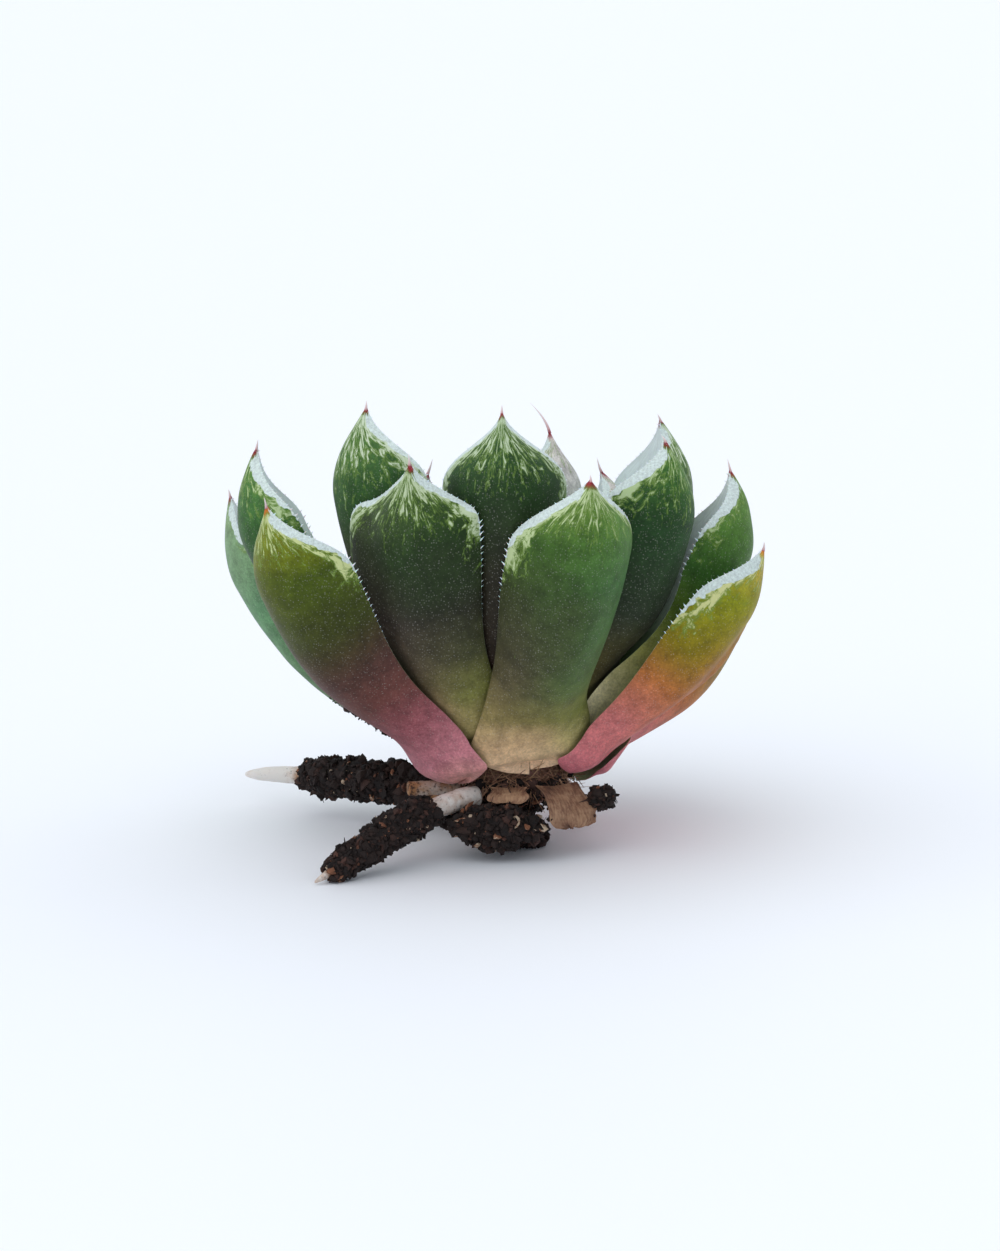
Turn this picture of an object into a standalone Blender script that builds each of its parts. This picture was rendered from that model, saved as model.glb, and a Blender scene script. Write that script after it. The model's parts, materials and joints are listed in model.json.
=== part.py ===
"""A bare-rooted rosette succulent, standing on its roots as it comes out of its pot.

Thick pointed leaves sit in a spiral on a short stem. Fleshy roots, partly crusted with soil, spread
under it and carry it, with the dry base of an old leaf still hanging on at one side.

Everything is in metres, +Z up. The origin is the middle of the broken end of the old stem, a small
flat face that stands on the table. Azimuth 0 is the front (-Y), and grows towards +X.
"""

import math
from collections import namedtuple

import bmesh
import bpy
import numpy as np
from mathutils import Euler, Quaternion, Vector, noise

MM = 0.001
DEGREE = math.pi / 180
TURN = 2 * math.pi

# ---------------------------------------------------------------- driving dimensions
GAP = 0.50 * MM  # clear space left wherever two pieces press on each other

# The old stem, broken off flat where it stands on the table.
STUB_RADIUS = 2.9 * MM
STUB_TOP = 6.5 * MM
STUB_FOOT_RADIUS = 2.4 * MM
STUB_SWAY = 0.32  # how far it leans to the right, as a share of its height

# The rosette: where its foot is above the stub, and how far the plant leans back and to the left.
ROSETTE_FOOT = Vector((2.6 * MM, 0.5 * MM, STUB_TOP + 2.1 * MM))
ROSETTE_LEAN_BACK = 9 * DEGREE
ROSETTE_LEAN_LEFT = 1.0 * DEGREE
ROSETTE_SPREAD = 1.0  # share of the leaves' own reach and height

# The stem that carries the leaves, along the rosette's own axis.
STEM_RADIUS = 5.6 * MM
STEM_TOP = 9.5 * MM
STEM_SKIRT = 3.2 * MM  # how far it goes on below the lowest leaves
STEM_SIDES = 16

# A leaf's section and outline.
LEAF_THICKNESS = 4.7 * MM
LEAF_BASE_THICKNESS = 1.7 * MM
LEAF_FOOT = 0.9  # width where it grows from the stem, as a share of the widest part
LEAF_NECK = 0.8  # width of the lower part, as a share of the widest part
LEAF_SHOULDER = 0.78  # where the leaf starts to narrow towards its tip
LEAF_BELLY = 0.74  # where the leaf is widest
LEAF_CAP = 0.045  # share of the length in which the base rounds off
MIDRIB_HANDLE = 0.42  # how far the midrib keeps its first and its last direction, as a share of its chord
AWN_RADIUS = 0.22 * MM
BASE_WRAP_RADIUS = 8.5 * MM  # the base is curved round the stem
TIP_WRAP_RADIUS = 10.5 * MM  # the blade is cupped more loosely

# The soil's surface.
LUMP_SIZE = 1.6 * MM
CLUMP_DENTS = 0.35  # how far a loose lump is pushed in and out, as a share of its size

# How finely the solids are faceted.
LEAF_SIDES = 12
LEAF_RINGS = 15
ROOT_SIDES = 8
ROOT_RINGS = 14
CRUST_SIDES = 10
CRUST_RINGS = 14
CREASE_ANGLE = 50 * DEGREE  # edges sharper than this aren't shaded smooth

# ---------------------------------------------------------------- the leaves, from the heart outwards
# base_turn and tip_turn: azimuths in degrees. Reach and height: of the tip, in mm, from the rosette's foot
# and along its axis. width: round the belly, in mm. start and end: how steeply the midrib sets out from
# the stem and arrives at the tip, in degrees above level. ogee: how much the tip is drawn out, 1.5 to 3.5.
Leaf = namedtuple("Leaf", "name base_turn tip_turn reach height width start end ogee")

LEAVES = [
    Leaf("bud_leaf_1", 5, 5, 2.8, 27.0, 4.6, 86, 92, 2.2),
    Leaf("bud_leaf_2", 125, 125, 3.0, 28.0, 4.6, 86, 92, 2.2),
    Leaf("bud_leaf_3", 245, 245, 3.6, 28.5, 4.8, 86, 92, 2.2),
    Leaf("heart_leaf_1", 28, 30, 8.4, 37.7, 8.4, 70, 94, 2.6),
    Leaf("heart_leaf_2", 172, 173, 8.2, 32.0, 8.8, 70, 96, 2.2),
    Leaf("heart_leaf_3", 314, 319, 8.8, 32.5, 9.2, 70, 96, 2.2),
    Leaf("heart_leaf_4", 100, 98, 10.0, 33.0, 10.0, 68, 96, 2.2),
    Leaf("heart_leaf_5", 244, 241, 10.6, 33.0, 9.6, 68, 96, 2.2),
    Leaf("inner_leaf_1", 356, 357, 16.8, 40.0, 14.8, 56, 86, 2.5),
    Leaf("inner_leaf_2", 120, 107, 17.5, 38.6, 14.0, 56, 88, 2.4),
    Leaf("inner_leaf_3", 232, 238, 17.0, 35.0, 14.0, 56, 86, 2.2),
    Leaf("inner_leaf_4", 64, 57, 20.0, 36.5, 14.4, 56, 78, 2.2),
    Leaf("inner_leaf_5", 300, 302, 18.4, 40.6, 15.0, 56, 86, 2.2),
    Leaf("inner_leaf_6", 176, 178, 17.5, 33.0, 14.0, 56, 86, 2.2),
    Leaf("middle_leaf_1", 317, 332, 23.0, 34.7, 15.0, 52, 68, 2.1),
    Leaf("middle_leaf_2", 84, 97, 24.6, 32.9, 15.0, 56, 82, 2.4),
    Leaf("middle_leaf_3", 205, 207, 25.5, 30.0, 15.0, 46, 76, 2.2),
    Leaf("middle_leaf_4", 13, 21, 23.6, 32.6, 15.4, 50, 76, 1.7),
    Leaf("middle_leaf_5", 276, 269, 28.2, 36.4, 15.0, 58, 84, 2.4),
    Leaf("middle_leaf_6", 146, 149, 26.0, 29.0, 14.6, 46, 76, 2.2),
    Leaf("outer_leaf_1", 297, 307, 32.9, 30.4, 16.6, 36, 66, 2.0),
    Leaf("outer_leaf_2", 68, 76, 28.5, 24.4, 12.4, 40, 50, 2.0),
    Leaf("outer_leaf_3", 178, 179, 30.2, 23.0, 14.6, 28, 68, 2.2),
    Leaf("outer_leaf_4", 238, 253, 33.4, 30.9, 13.4, 30, 72, 2.4),
    Leaf("outer_leaf_5", 116, 124, 30.5, 24.0, 15.0, 28, 68, 2.2),
]

# Withered leaf bases that hang below the rosette, by the same rule.
DRY_LEAVES = [
    Leaf("dry_leaf", 38, 38, 9.8, -6.4, 6.8, -30, -84, 0.5),
    Leaf("dry_scale", 353, 354, 8.4, -3.3, 4.6, -40, -80, 0.6),
]

# Where each circle of leaves grows from the stem, and how plump its leaves are.
Circle = namedtuple("Circle", "base_radius base_height fullness")

CIRCLES = {
    "bud": Circle(1.2, 10.6, 0.50),
    "heart": Circle(3.5, 8.4, 0.72),
    "inner": Circle(5.0, 5.6, 1.0),
    "middle": Circle(6.2, 1.6, 0.95),
    "outer": Circle(6.8, 0.1, 0.80),
    "dry": Circle(6.6, -1.7, 0.18),
}


# ---------------------------------------------------------------- the stem and the roots
# The stem's outline, from its top down: share of STEM_RADIUS, and height.
STEM_OUTLINE = [
    (0.0, STEM_TOP),
    (0.16, STEM_TOP - 0.3 * MM),
    (0.42, 0.74 * STEM_TOP),
    (0.72, 0.42 * STEM_TOP),
    (0.92, 0.12 * STEM_TOP),
    (1.0, -0.2 * STEM_SKIRT),
    (0.93, -0.62 * STEM_SKIRT),
]
# The stub's outline below it, down to its flat foot: share of STUB_RADIUS, and height above the foot.
STUB_OUTLINE = [
    (1.45, 0.80 * STUB_TOP),
    (1.18, 0.60 * STUB_TOP),
    (1.02, 0.40 * STUB_TOP),
    (0.97, 0.16 * STUB_TOP),
    (0.92, 0.05 * STUB_TOP),
    (STUB_FOOT_RADIUS / STUB_RADIUS, 0.0),
    (0.0, 0.0),
]

# turn and height: where a root leaves the stem, as an azimuth in degrees and a share of STUB_TOP. path: the
# other three handles of its curve, x and y in mm and the height as a share of STUB_TOP. radii: at its start
# and its end, in mm.
Root = namedtuple("Root", "name turn height path radii")

ROOTS = [
    Root("root_left", 247, 0.78, [(-9, 5.8, 0.83), (-20, 13, 0.75), (-28.7, 18, 0.54)], (1.4, 0.9)),
    Root("root_front", 321, 0.97, [(-6, -7.8, 1.14), (-13, -13, 0.52), (-19.3, -18.2, 0.05)], (1.45, 0.55)),
    Root("root_broken", 282, 1.02, [(-5.4, -1.6, 1.04), (-7.6, -1.8, 1.05), (-9.6, -2, 1.04)], (0.85, 0.85)),
    Root("root_back_left", 205, 0.83, [(-2.6, 8, 0.92), (-5.4, 12, 0.37), (-7.6, 15.6, 0.05)], (1.3, 0.7)),
    Root("root_back_right", 141, 0.78, [(8.4, 8.8, 0.86), (9.4, 10.4, 0.34), (10.6, 13.6, 0.05)], (1.3, 0.7)),
]

# The stub, as the core that its collar of soil follows down from 0.78 of its height.
STUB = Root("stub", 0, 0, [], (1.41 * STUB_RADIUS / MM, 0.97 * STUB_RADIUS / MM))
NEARLY_UP = np.array([0.02, 0.01, 1.0])  # a direction that no root runs along

# Soil that still clings round a root, or round the stub. first and last: shares of the core's length.
# thickness in mm. lumps: how far it is pushed in and out, as a share of the thickness.
Crust = namedtuple("Crust", "name core first last thickness lumps")

CRUSTS = [
    Crust("soil_left", "root_left", 0.16, 0.74, 0.72, 0.72),
    Crust("soil_front", "root_front", 0.34, 0.92, 0.6, 0.72),
    Crust("soil_collar", "stub", 0.30, 0.72, 1.3, 0.8),
]

# Loose lumps of soil: the middle of each and its half-size along X, Y and Z, in mm. The front one lies
# against the soil round the stub.
Clump = namedtuple("Clump", "name place size")

CLUMPS = [
    Clump("soil_clump_front", (0.2, -STUB_RADIUS / MM - 5.5, 0.60 * STUB_TOP / MM), (4.6, 1.7, 2.5)),
    Clump("soil_clump_right", (12.2, -5.4, 1.02 * STUB_TOP / MM), (1.4, 1.2, 1.3)),
]


def blend(low, high, value):
    """0 below low, 1 above high, and a smooth S between them."""
    share = np.clip((value - low) / (high - low), 0, 1)
    return share * share * (3 - 2 * share)


# ---------------------------------------------------------------- a leaf as a surface
def leaf_outline(along, ogee):
    """Half-width of a leaf as a share of its widest: a foot, a neck, a belly, then an ogee to the point."""
    body = (
        LEAF_FOOT
        + (LEAF_NECK - LEAF_FOOT) * blend(0, 0.22, along)
        + (1 - LEAF_NECK) * blend(0.25, LEAF_BELLY, along)
    )
    cap = np.sqrt(1 - (1 - np.clip(along / LEAF_CAP, 0, 1)) ** 2)
    to_tip = np.clip((along - LEAF_SHOULDER) / (1 - LEAF_SHOULDER), 0, 1)
    return body * cap * (1 - to_tip**2.4) ** ogee + 0.42 * (1 - to_tip) * to_tip**3


def leaf_depth(along):
    """Thickness along the midrib, as a share from the base's to the belly's, fading out at the tip."""
    cap = np.sqrt(1 - (1 - np.clip(along / LEAF_CAP, 0, 1)) ** 2)
    to_tip = np.clip((along - LEAF_SHOULDER) / (1 - LEAF_SHOULDER), 0, 1)
    base = LEAF_BASE_THICKNESS / LEAF_THICKNESS
    return cap * (base + (1 - base) * blend(0.05, 0.55, along)) * (1 - to_tip**1.8) ** 0.9


def midrib(leaf, circle, along):
    """Radius, height and heading of the midrib: a Bezier curve from the stem to the tip."""
    start = np.array([circle.base_radius, circle.base_height]) * MM
    end = np.array([leaf.reach, leaf.height]) * MM * ROSETTE_SPREAD
    handle = MIDRIB_HANDLE * np.linalg.norm(end - start)
    angles = leaf.start * DEGREE, leaf.end * DEGREE
    first = start + handle * np.array([math.cos(angles[0]), math.sin(angles[0])])
    second = end - handle * np.array([math.cos(angles[1]), math.sin(angles[1])])
    t = along[..., None]
    place = (
        (1 - t) ** 3 * start + 3 * (1 - t) ** 2 * t * first + 3 * (1 - t) * t**2 * second + t**3 * end
    )
    slope = (
        3 * (1 - t) ** 2 * (first - start) + 6 * (1 - t) * t * (second - first) + 3 * t**2 * (end - second)
    )
    return place, slope / np.linalg.norm(slope, axis=-1, keepdims=True)


def leaf_points(leaf, along, across, side):
    """Points of a leaf in the rosette's frame. side is 0 on the face towards the heart, 1 on the back."""
    circle = CIRCLES[leaf.name.split("_")[0]]
    place, heading = midrib(leaf, circle, along)
    half = np.maximum(leaf.width / 2 * MM * leaf_outline(along, leaf.ogee), AWN_RADIUS * (1 - along**20))
    depth = np.maximum(
        LEAF_THICKNESS * circle.fullness * leaf_depth(along), 2 * AWN_RADIUS * (1 - along**20)
    )
    wrap = BASE_WRAP_RADIUS + (TIP_WRAP_RADIUS - BASE_WRAP_RADIUS) * along
    angle = half * across / wrap
    sideways = wrap * np.sin(angle)
    inwards = wrap * (1 - np.cos(angle))
    out = side * depth * (1 - np.abs(across) ** 2.3) ** 0.72 - inwards
    radius = place[..., 0] + out * heading[..., 1]
    height = place[..., 1] - out * heading[..., 0]
    turn = (leaf.base_turn + (leaf.tip_turn - leaf.base_turn) * along) * DEGREE
    points = np.stack(
        [
            radius * np.sin(turn) + sideways * np.cos(turn),
            -radius * np.cos(turn) + sideways * np.sin(turn),
            height,
        ],
        axis=-1,
    )
    return clear_of_stem(points)


# ---------------------------------------------------------------- keeping the leaves apart
def clear_of_stem(points):
    """Points that would lie in the stem, moved straight out from its axis until they clear its skin."""
    outline = np.array(STEM_OUTLINE[:0:-1])
    skin = STEM_RADIUS * np.interp(points[..., 2], outline[:, 1], outline[:, 0]) + GAP
    middle, reach = (STEM_TOP - STEM_SKIRT) / 2, (STEM_TOP + STEM_SKIRT) / 2 + GAP
    skin = np.where(np.abs(points[..., 2] - middle) < reach, skin, 0)
    radius = np.maximum(np.hypot(points[..., 0], points[..., 1]), 1e-6)
    share = np.maximum(1, skin / radius)
    return np.stack([points[..., 0] * share, points[..., 1] * share, points[..., 2]], axis=-1)


class Reach:
    """How far the plant reaches so far, in every direction from its heart: a map by turn and tilt.

    Each new leaf is laid over the map, and moved out wherever it would press into what is there.
    """

    HEART = np.array([0, 0, 22.0]) * MM
    CELL = 1.5 * DEGREE
    SAMPLES = 161, 81  # points along and across a leaf when it's drawn on the map

    def __init__(self):
        self.rows = round(math.pi / self.CELL) + 1
        self.columns = round(TURN / self.CELL)
        self.far = np.zeros((self.rows, self.columns))

    def polar(self, points):
        """(map row, map column, distance, direction) of each point, seen from the heart."""
        offset = points - self.HEART
        distance = np.linalg.norm(offset, axis=-1)
        direction = offset / distance[..., None]
        row = np.arccos(np.clip(direction[..., 2], -1, 1)) / self.CELL
        column = (np.arctan2(direction[..., 1], direction[..., 0]) % TURN) / self.CELL
        return row, column, distance, direction

    def add(self, points):
        row, column, distance, _ = self.polar(points)
        for down in (0, 1):
            for right in (0, 1):
                cell = (
                    np.minimum(np.floor(row).astype(int) + down, self.rows - 1).ravel(),
                    (np.floor(column).astype(int) + right).ravel() % self.columns,
                )
                np.maximum.at(self.far, cell, distance.ravel())

    def needed(self, points):
        """How far each point has to move out to stay clear."""
        row, column, distance, _ = self.polar(points)
        low_row, low_column = np.floor(row).astype(int), np.floor(column).astype(int)
        row_share, column_share = row - low_row, column - low_column
        far = 0
        for down in (0, 1):
            for right in (0, 1):
                weight = (row_share if down else 1 - row_share) * (
                    column_share if right else 1 - column_share
                )
                cell = np.minimum(low_row + down, self.rows - 1), (low_column + right) % self.columns
                far = far + weight * self.far[cell]
        return np.where(far > 0, np.maximum(0, far + GAP - distance), 0)


def eased(push):
    """The push, spread smoothly to its neighbours so that the leaf bends and doesn't crease."""
    spread = push
    for _ in range(40):
        padded = np.pad(spread, 1, mode="edge")
        mean = (padded[2:, 1:-1] + padded[:-2, 1:-1] + padded[1:-1, 2:] + padded[1:-1, :-2]) / 4
        spread = np.maximum(push, mean)
    return spread


def settled_pushes(reach):
    """For each leaf, how far each point of its sampled grid moves out, leaf by leaf from the heart."""
    along, across = np.meshgrid(
        np.linspace(0, 1, Reach.SAMPLES[0]), np.linspace(-1, 1, Reach.SAMPLES[1]), indexing="ij"
    )
    pushes = {}
    for leaf in LEAVES + DRY_LEAVES:
        faces = [leaf_points(leaf, along, across, side) for side in (0, 1)]
        push = eased(np.maximum(reach.needed(faces[0]), reach.needed(faces[1])))
        pushes[leaf.name] = push
        for face in faces:
            reach.add(face + push[..., None] * reach.polar(face)[3])
    return pushes


def read_grid(grid, along, across):
    """The sampled grid's value at any place on the leaf."""
    row = along * (grid.shape[0] - 1)
    column = (across + 1) / 2 * (grid.shape[1] - 1)
    r0 = np.minimum(np.floor(row).astype(int), grid.shape[0] - 2)
    c0 = np.minimum(np.floor(column).astype(int), grid.shape[1] - 2)
    dr, dc = row - r0, column - c0
    return (
        grid[r0, c0] * (1 - dr) * (1 - dc)
        + grid[r0 + 1, c0] * dr * (1 - dc)
        + grid[r0, c0 + 1] * (1 - dr) * dc
        + grid[r0 + 1, c0 + 1] * dr * dc
    )


# ---------------------------------------------------------------- Blender helpers
def new_collection(name):
    collection = bpy.data.collections.new(name)
    bpy.context.scene.collection.children.link(collection)
    return collection


def put_in(obj, collection):
    for other in list(obj.users_collection):
        other.objects.unlink(obj)
    collection.objects.link(obj)
    return obj


def material(name, colour, roughness):
    """A Principled material. The colour is linear red, green, blue."""
    made = bpy.data.materials.new(name)
    made.use_nodes = True
    shader = made.node_tree.nodes["Principled BSDF"]
    shader.inputs["Base Color"].default_value = (*colour, 1)
    shader.inputs["Roughness"].default_value = roughness
    shader.inputs["Metallic"].default_value = 0
    return made


def finished(obj, name, collection, finish, parent=None):
    """Names an object, gives it its material and smooth shading, and puts it with the others."""
    obj.name = name
    obj.data.name = name
    obj.data.materials.clear()
    obj.data.materials.append(finish)
    if obj.type == "MESH":
        obj.data.shade_smooth()
        obj.data.set_sharp_from_angle(angle=CREASE_ANGLE)
    put_in(obj, collection)
    obj.parent = parent
    return obj


def sphere_grid(sides, rings):
    """A unit sphere with its poles on Z, and each vertex's share of the way down and angle round."""
    bpy.ops.mesh.primitive_uv_sphere_add(segments=sides, ring_count=rings, radius=1)
    obj = bpy.context.object
    places = np.array([vertex.co for vertex in obj.data.vertices])
    down = np.arccos(np.clip(places[:, 2], -1, 1)) / math.pi
    turn = np.arctan2(places[:, 1], places[:, 0])
    return obj, down, turn


def move_vertices(obj, places):
    obj.data.vertices.foreach_set("co", np.asarray(places, dtype=np.float32).ravel())
    obj.data.update()


def face_outwards(obj):
    mesh = bmesh.new()
    mesh.from_mesh(obj.data)
    bmesh.ops.recalc_face_normals(mesh, faces=mesh.faces)
    mesh.to_mesh(obj.data)
    mesh.free()


# ---------------------------------------------------------------- the pieces
def make_leaf(leaf, push, reach):
    """A sphere drawn out into a leaf: its top pole is the base, its bottom pole the tip."""
    obj, down, turn = sphere_grid(LEAF_SIDES, LEAF_RINGS)
    along = np.clip(1.04 * down - 0.02 - 0.06 * np.sin(TURN * down) / TURN * 2, 0, 1)
    across = np.cos(turn)
    side = (np.sin(turn) > 1e-6).astype(float)
    points = leaf_points(leaf, along, across, side)
    moved = points + read_grid(push, along, across)[:, None] * reach.polar(points)[3]
    move_vertices(obj, moved)
    face_outwards(obj)
    return obj


def make_stem(rosette):
    """Rings down the rosette's axis, then down the stub to its flat foot, joined as one skin."""
    slant = rosette.matrix_basis
    rings = [
        (slant @ Vector((0, 0, height)), slant.to_quaternion(), share * STEM_RADIUS)
        for share, height in STEM_OUTLINE
    ]
    for share, height in STUB_OUTLINE:
        turned = Quaternion().slerp(slant.to_quaternion(), height / STUB_TOP)
        rings.append((Vector((STUB_SWAY * height, 0, height)), turned, share * STUB_RADIUS))
    obj, down, turn = sphere_grid(STEM_SIDES, len(rings) - 1)
    row = np.rint(down * (len(rings) - 1)).astype(int)
    places = [
        rings[r][0] + rings[r][1] @ Vector((rings[r][2] * math.cos(t), rings[r][2] * math.sin(t), 0))
        for r, t in zip(row, turn)
    ]
    move_vertices(obj, places)
    face_outwards(obj)
    return obj


def stub_skin(height):
    """Radius of the stub, or of the stem's skirt above it, at a height over the table."""
    heights = [row[1] for row in STUB_OUTLINE[-2::-1]] + [ROSETTE_FOOT.z + STEM_OUTLINE[-1][1]]
    radii = [row[0] * STUB_RADIUS for row in STUB_OUTLINE[-2::-1]] + [STEM_OUTLINE[-1][0] * STEM_RADIUS]
    return np.interp(height, heights, radii)


def handles(root):
    """The four points that a root's curve is drawn from. The first lies just off the stem's skin."""
    height, turn = root.height * STUB_TOP, root.turn * DEGREE
    away = stub_skin(height + root.radii[0] * MM) + 1.5 * GAP
    start = (STUB_SWAY * height + away * math.sin(turn), -away * math.cos(turn), height)
    return np.array([start] + [(x * MM, y * MM, share * STUB_TOP) for x, y, share in root.path])


def root_frame(root, along):
    """Where the middle of a root is, and the two directions square to it. The stub is a straight root."""
    t = along[..., None]
    if root == STUB:
        top = np.array([STUB_SWAY, 0, 1]) * 0.78 * STUB_TOP
        middle, heading = (1 - t) * top, -top + 0 * t
    else:
        p0, p1, p2, p3 = handles(root)
        middle = (1 - t) ** 3 * p0 + 3 * t * (1 - t) ** 2 * p1 + 3 * t * t * (1 - t) * p2 + t**3 * p3
        heading = (1 - t) ** 2 * (p1 - p0) + 2 * t * (1 - t) * (p2 - p1) + t * t * (p3 - p2)
    heading = heading / np.linalg.norm(heading, axis=-1, keepdims=True)
    right = np.cross(heading, NEARLY_UP)
    right = right / np.linalg.norm(right, axis=-1, keepdims=True)
    return middle, right, np.cross(right, heading)


def root_radius(root, along):
    return (root.radii[0] + (root.radii[1] - root.radii[0]) * along) * MM


def above_floor(places):
    """A root or its soil is pressed flat where it lies on the table."""
    return np.stack([places[..., 0], places[..., 1], np.maximum(places[..., 2], 0)], axis=-1)


def make_root(root):
    """A sphere drawn out along the root's path."""
    obj, down, turn = sphere_grid(ROOT_SIDES, ROOT_RINGS)
    along = np.clip(1.02 * down - 0.01, 0, 1)
    middle, right, up = root_frame(root, along)
    cap = np.sqrt(1 - (1 - np.clip(along / 0.03, 0, 1)) ** 2)
    tip = np.sqrt(1 - np.clip((along - 0.8) / 0.2, 0, 1) ** 2.2)
    radius = (root_radius(root, along) * cap * tip)[:, None]
    places = middle + radius * (np.cos(turn)[:, None] * right + np.sin(turn)[:, None] * up)
    move_vertices(obj, above_floor(places))
    face_outwards(obj)
    return obj


def make_crust(crust, core):
    """A torus drawn into a sleeve: its inside follows the root, its outside is lumpy."""
    bpy.ops.mesh.primitive_torus_add(
        major_segments=CRUST_SIDES, minor_segments=CRUST_RINGS, major_radius=2, minor_radius=1
    )
    obj = bpy.context.object
    places = np.array([vertex.co for vertex in obj.data.vertices])
    turn = np.arctan2(places[:, 1], places[:, 0])
    rise = np.hypot(places[:, 0], places[:, 1]) - 2
    along = crust.first + (crust.last - crust.first) * (1 + places[:, 2]) / 2
    middle, right, up = root_frame(core, along)
    spoke = np.cos(turn)[:, None] * right + np.sin(turn)[:, None] * up
    lumps = np.array([noise.noise(Vector(m + 3 * MM * s) / LUMP_SIZE) for m, s in zip(middle, spoke)])
    outer = np.clip(rise, 0, 1) ** 0.6 * crust.thickness * MM * (1 + crust.lumps * lumps)
    radius = root_radius(core, along) + GAP + outer
    move_vertices(obj, above_floor(middle + radius[:, None] * spoke))
    face_outwards(obj)
    return obj


def make_clump(clump):
    """A lump of soil: an icosphere with its faces pushed in and out."""
    bpy.ops.mesh.primitive_ico_sphere_add(subdivisions=2, radius=1)
    obj = bpy.context.object
    for vertex in obj.data.vertices:
        place = vertex.co * (1 + CLUMP_DENTS * noise.noise(vertex.co * 1.7))
        vertex.co = Vector(clump.place) * MM + Vector(p * s * MM for p, s in zip(place, clump.size))
    face_outwards(obj)
    return obj


def main():
    for obj in list(bpy.data.objects):
        bpy.data.objects.remove(obj)
    plant = new_collection("succulent")
    flesh = material("leaf_skin", (0.09, 0.16, 0.06), 0.55)
    withered = material("dry_leaf_skin", (0.45, 0.30, 0.19), 0.8)
    bark = material("stem_skin", (0.32, 0.16, 0.12), 0.7)
    pith = material("root_skin", (0.62, 0.50, 0.40), 0.7)
    soil = material("soil", (0.035, 0.022, 0.016), 0.95)

    rosette = bpy.data.objects.new("rosette_frame", None)
    plant.objects.link(rosette)
    rosette.location = ROSETTE_FOOT
    rosette.rotation_euler = Euler((-ROSETTE_LEAN_BACK, -ROSETTE_LEAN_LEFT, 0))

    reach = Reach()
    pushes = settled_pushes(reach)
    for leaf in LEAVES + DRY_LEAVES:
        finish = withered if leaf in DRY_LEAVES else flesh
        finished(make_leaf(leaf, pushes[leaf.name], reach), leaf.name, plant, finish, rosette)

    finished(make_stem(rosette), "stem", plant, bark)
    cores = {root.name: root for root in ROOTS + [STUB]}
    for root in ROOTS:
        finished(make_root(root), root.name, plant, pith)
    for crust in CRUSTS:
        finished(make_crust(crust, cores[crust.core]), crust.name, plant, soil)
    for clump in CLUMPS:
        finished(make_clump(clump), clump.name, plant, soil)


main()
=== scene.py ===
# %% [markdown]
# # A small windowed succulent, lifted out of its soil
#
# The plant is a rosette of fleshy leaves on a short stem. Each leaf is a cupped, pointed spoon with a toothed
# edge, a frosted inner face and a mottled green back that turns brown and pink towards its foot. Below hang
# thick roots with dark peat still clinging to them, and two withered leaf bases.
#
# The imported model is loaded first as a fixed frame. Its solids are coarse, so each of them is replaced here
# by a fine surface worked out from the same rule.

# %% Load the frame
import json
import math
from collections import namedtuple
from itertools import combinations

import bpy
import numpy as np
from mathutils import Euler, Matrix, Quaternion, Vector


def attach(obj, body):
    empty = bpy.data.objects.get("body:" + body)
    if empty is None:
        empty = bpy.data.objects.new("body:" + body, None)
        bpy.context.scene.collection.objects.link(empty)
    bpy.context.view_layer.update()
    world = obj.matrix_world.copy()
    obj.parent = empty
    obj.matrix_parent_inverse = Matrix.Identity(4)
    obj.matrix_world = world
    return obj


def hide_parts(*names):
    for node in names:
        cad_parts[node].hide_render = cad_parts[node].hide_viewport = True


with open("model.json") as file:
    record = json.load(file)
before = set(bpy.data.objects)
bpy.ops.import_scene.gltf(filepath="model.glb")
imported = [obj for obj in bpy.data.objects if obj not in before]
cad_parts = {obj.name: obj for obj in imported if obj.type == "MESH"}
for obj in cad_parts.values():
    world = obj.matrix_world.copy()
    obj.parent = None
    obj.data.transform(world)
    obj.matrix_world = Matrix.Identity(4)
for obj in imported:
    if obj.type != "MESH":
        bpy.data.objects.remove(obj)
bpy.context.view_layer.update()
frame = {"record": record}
MM = 0.001
DEGREE = math.pi / 180
TURN = 2 * math.pi

# %% [markdown]
# ## Where we look from, and in what light
#
# A plant this small is shown with a long lens from a little above, so its leaves stay upright and nothing is
# stretched. The table is a pale sheet, and the light is soft and comes from all round, as in a white tent.
# A wide lamp from the upper left gives the leaves their roundness, and a weaker one from behind brightens
# their edges.

# %% Camera
VIEW_ELEVATION = 12 * DEGREE
VIEW_DISTANCE = 0.52
VIEW_HEIGHT = 0.1401  # how many metres the picture takes in at the plant, from top to bottom
SENSOR = 36.0

resting_face = next(m for m in frame["record"]["mounts"] if m["name"] == "resting_face")
foot = Vector(resting_face["pos_m"])
ahead = Vector((0, math.cos(VIEW_ELEVATION), -math.sin(VIEW_ELEVATION)))
upward = Vector((0, math.sin(VIEW_ELEVATION), math.cos(VIEW_ELEVATION)))
aim = foot + Vector((0.78 * MM, 0, 0)) + upward * 24.36 * MM

camera = bpy.data.objects.new("camera", bpy.data.cameras.new("camera"))
bpy.context.scene.collection.objects.link(camera)
camera.location = aim - ahead * VIEW_DISTANCE
camera.rotation_euler = ahead.to_track_quat("-Z", "Y").to_euler()
camera.data.sensor_width = SENSOR
camera.data.lens = SENSOR * VIEW_DISTANCE / VIEW_HEIGHT
camera.data.clip_start = 0.01
bpy.context.scene.camera = camera
print("camera at", np.round(np.array(camera.location) / MM, 1).tolist(), "mm")


# %% Colours and nodes
def colour(code, alpha=1.0):
    """An sRGB hex code as linear red, green, blue and alpha."""
    parts = np.array([int(code[i : i + 2], 16) for i in (1, 3, 5)]) / 255
    linear = np.where(parts <= 0.04045, parts / 12.92, ((parts + 0.055) / 1.055) ** 2.4)
    return (*linear.tolist(), alpha)


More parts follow.
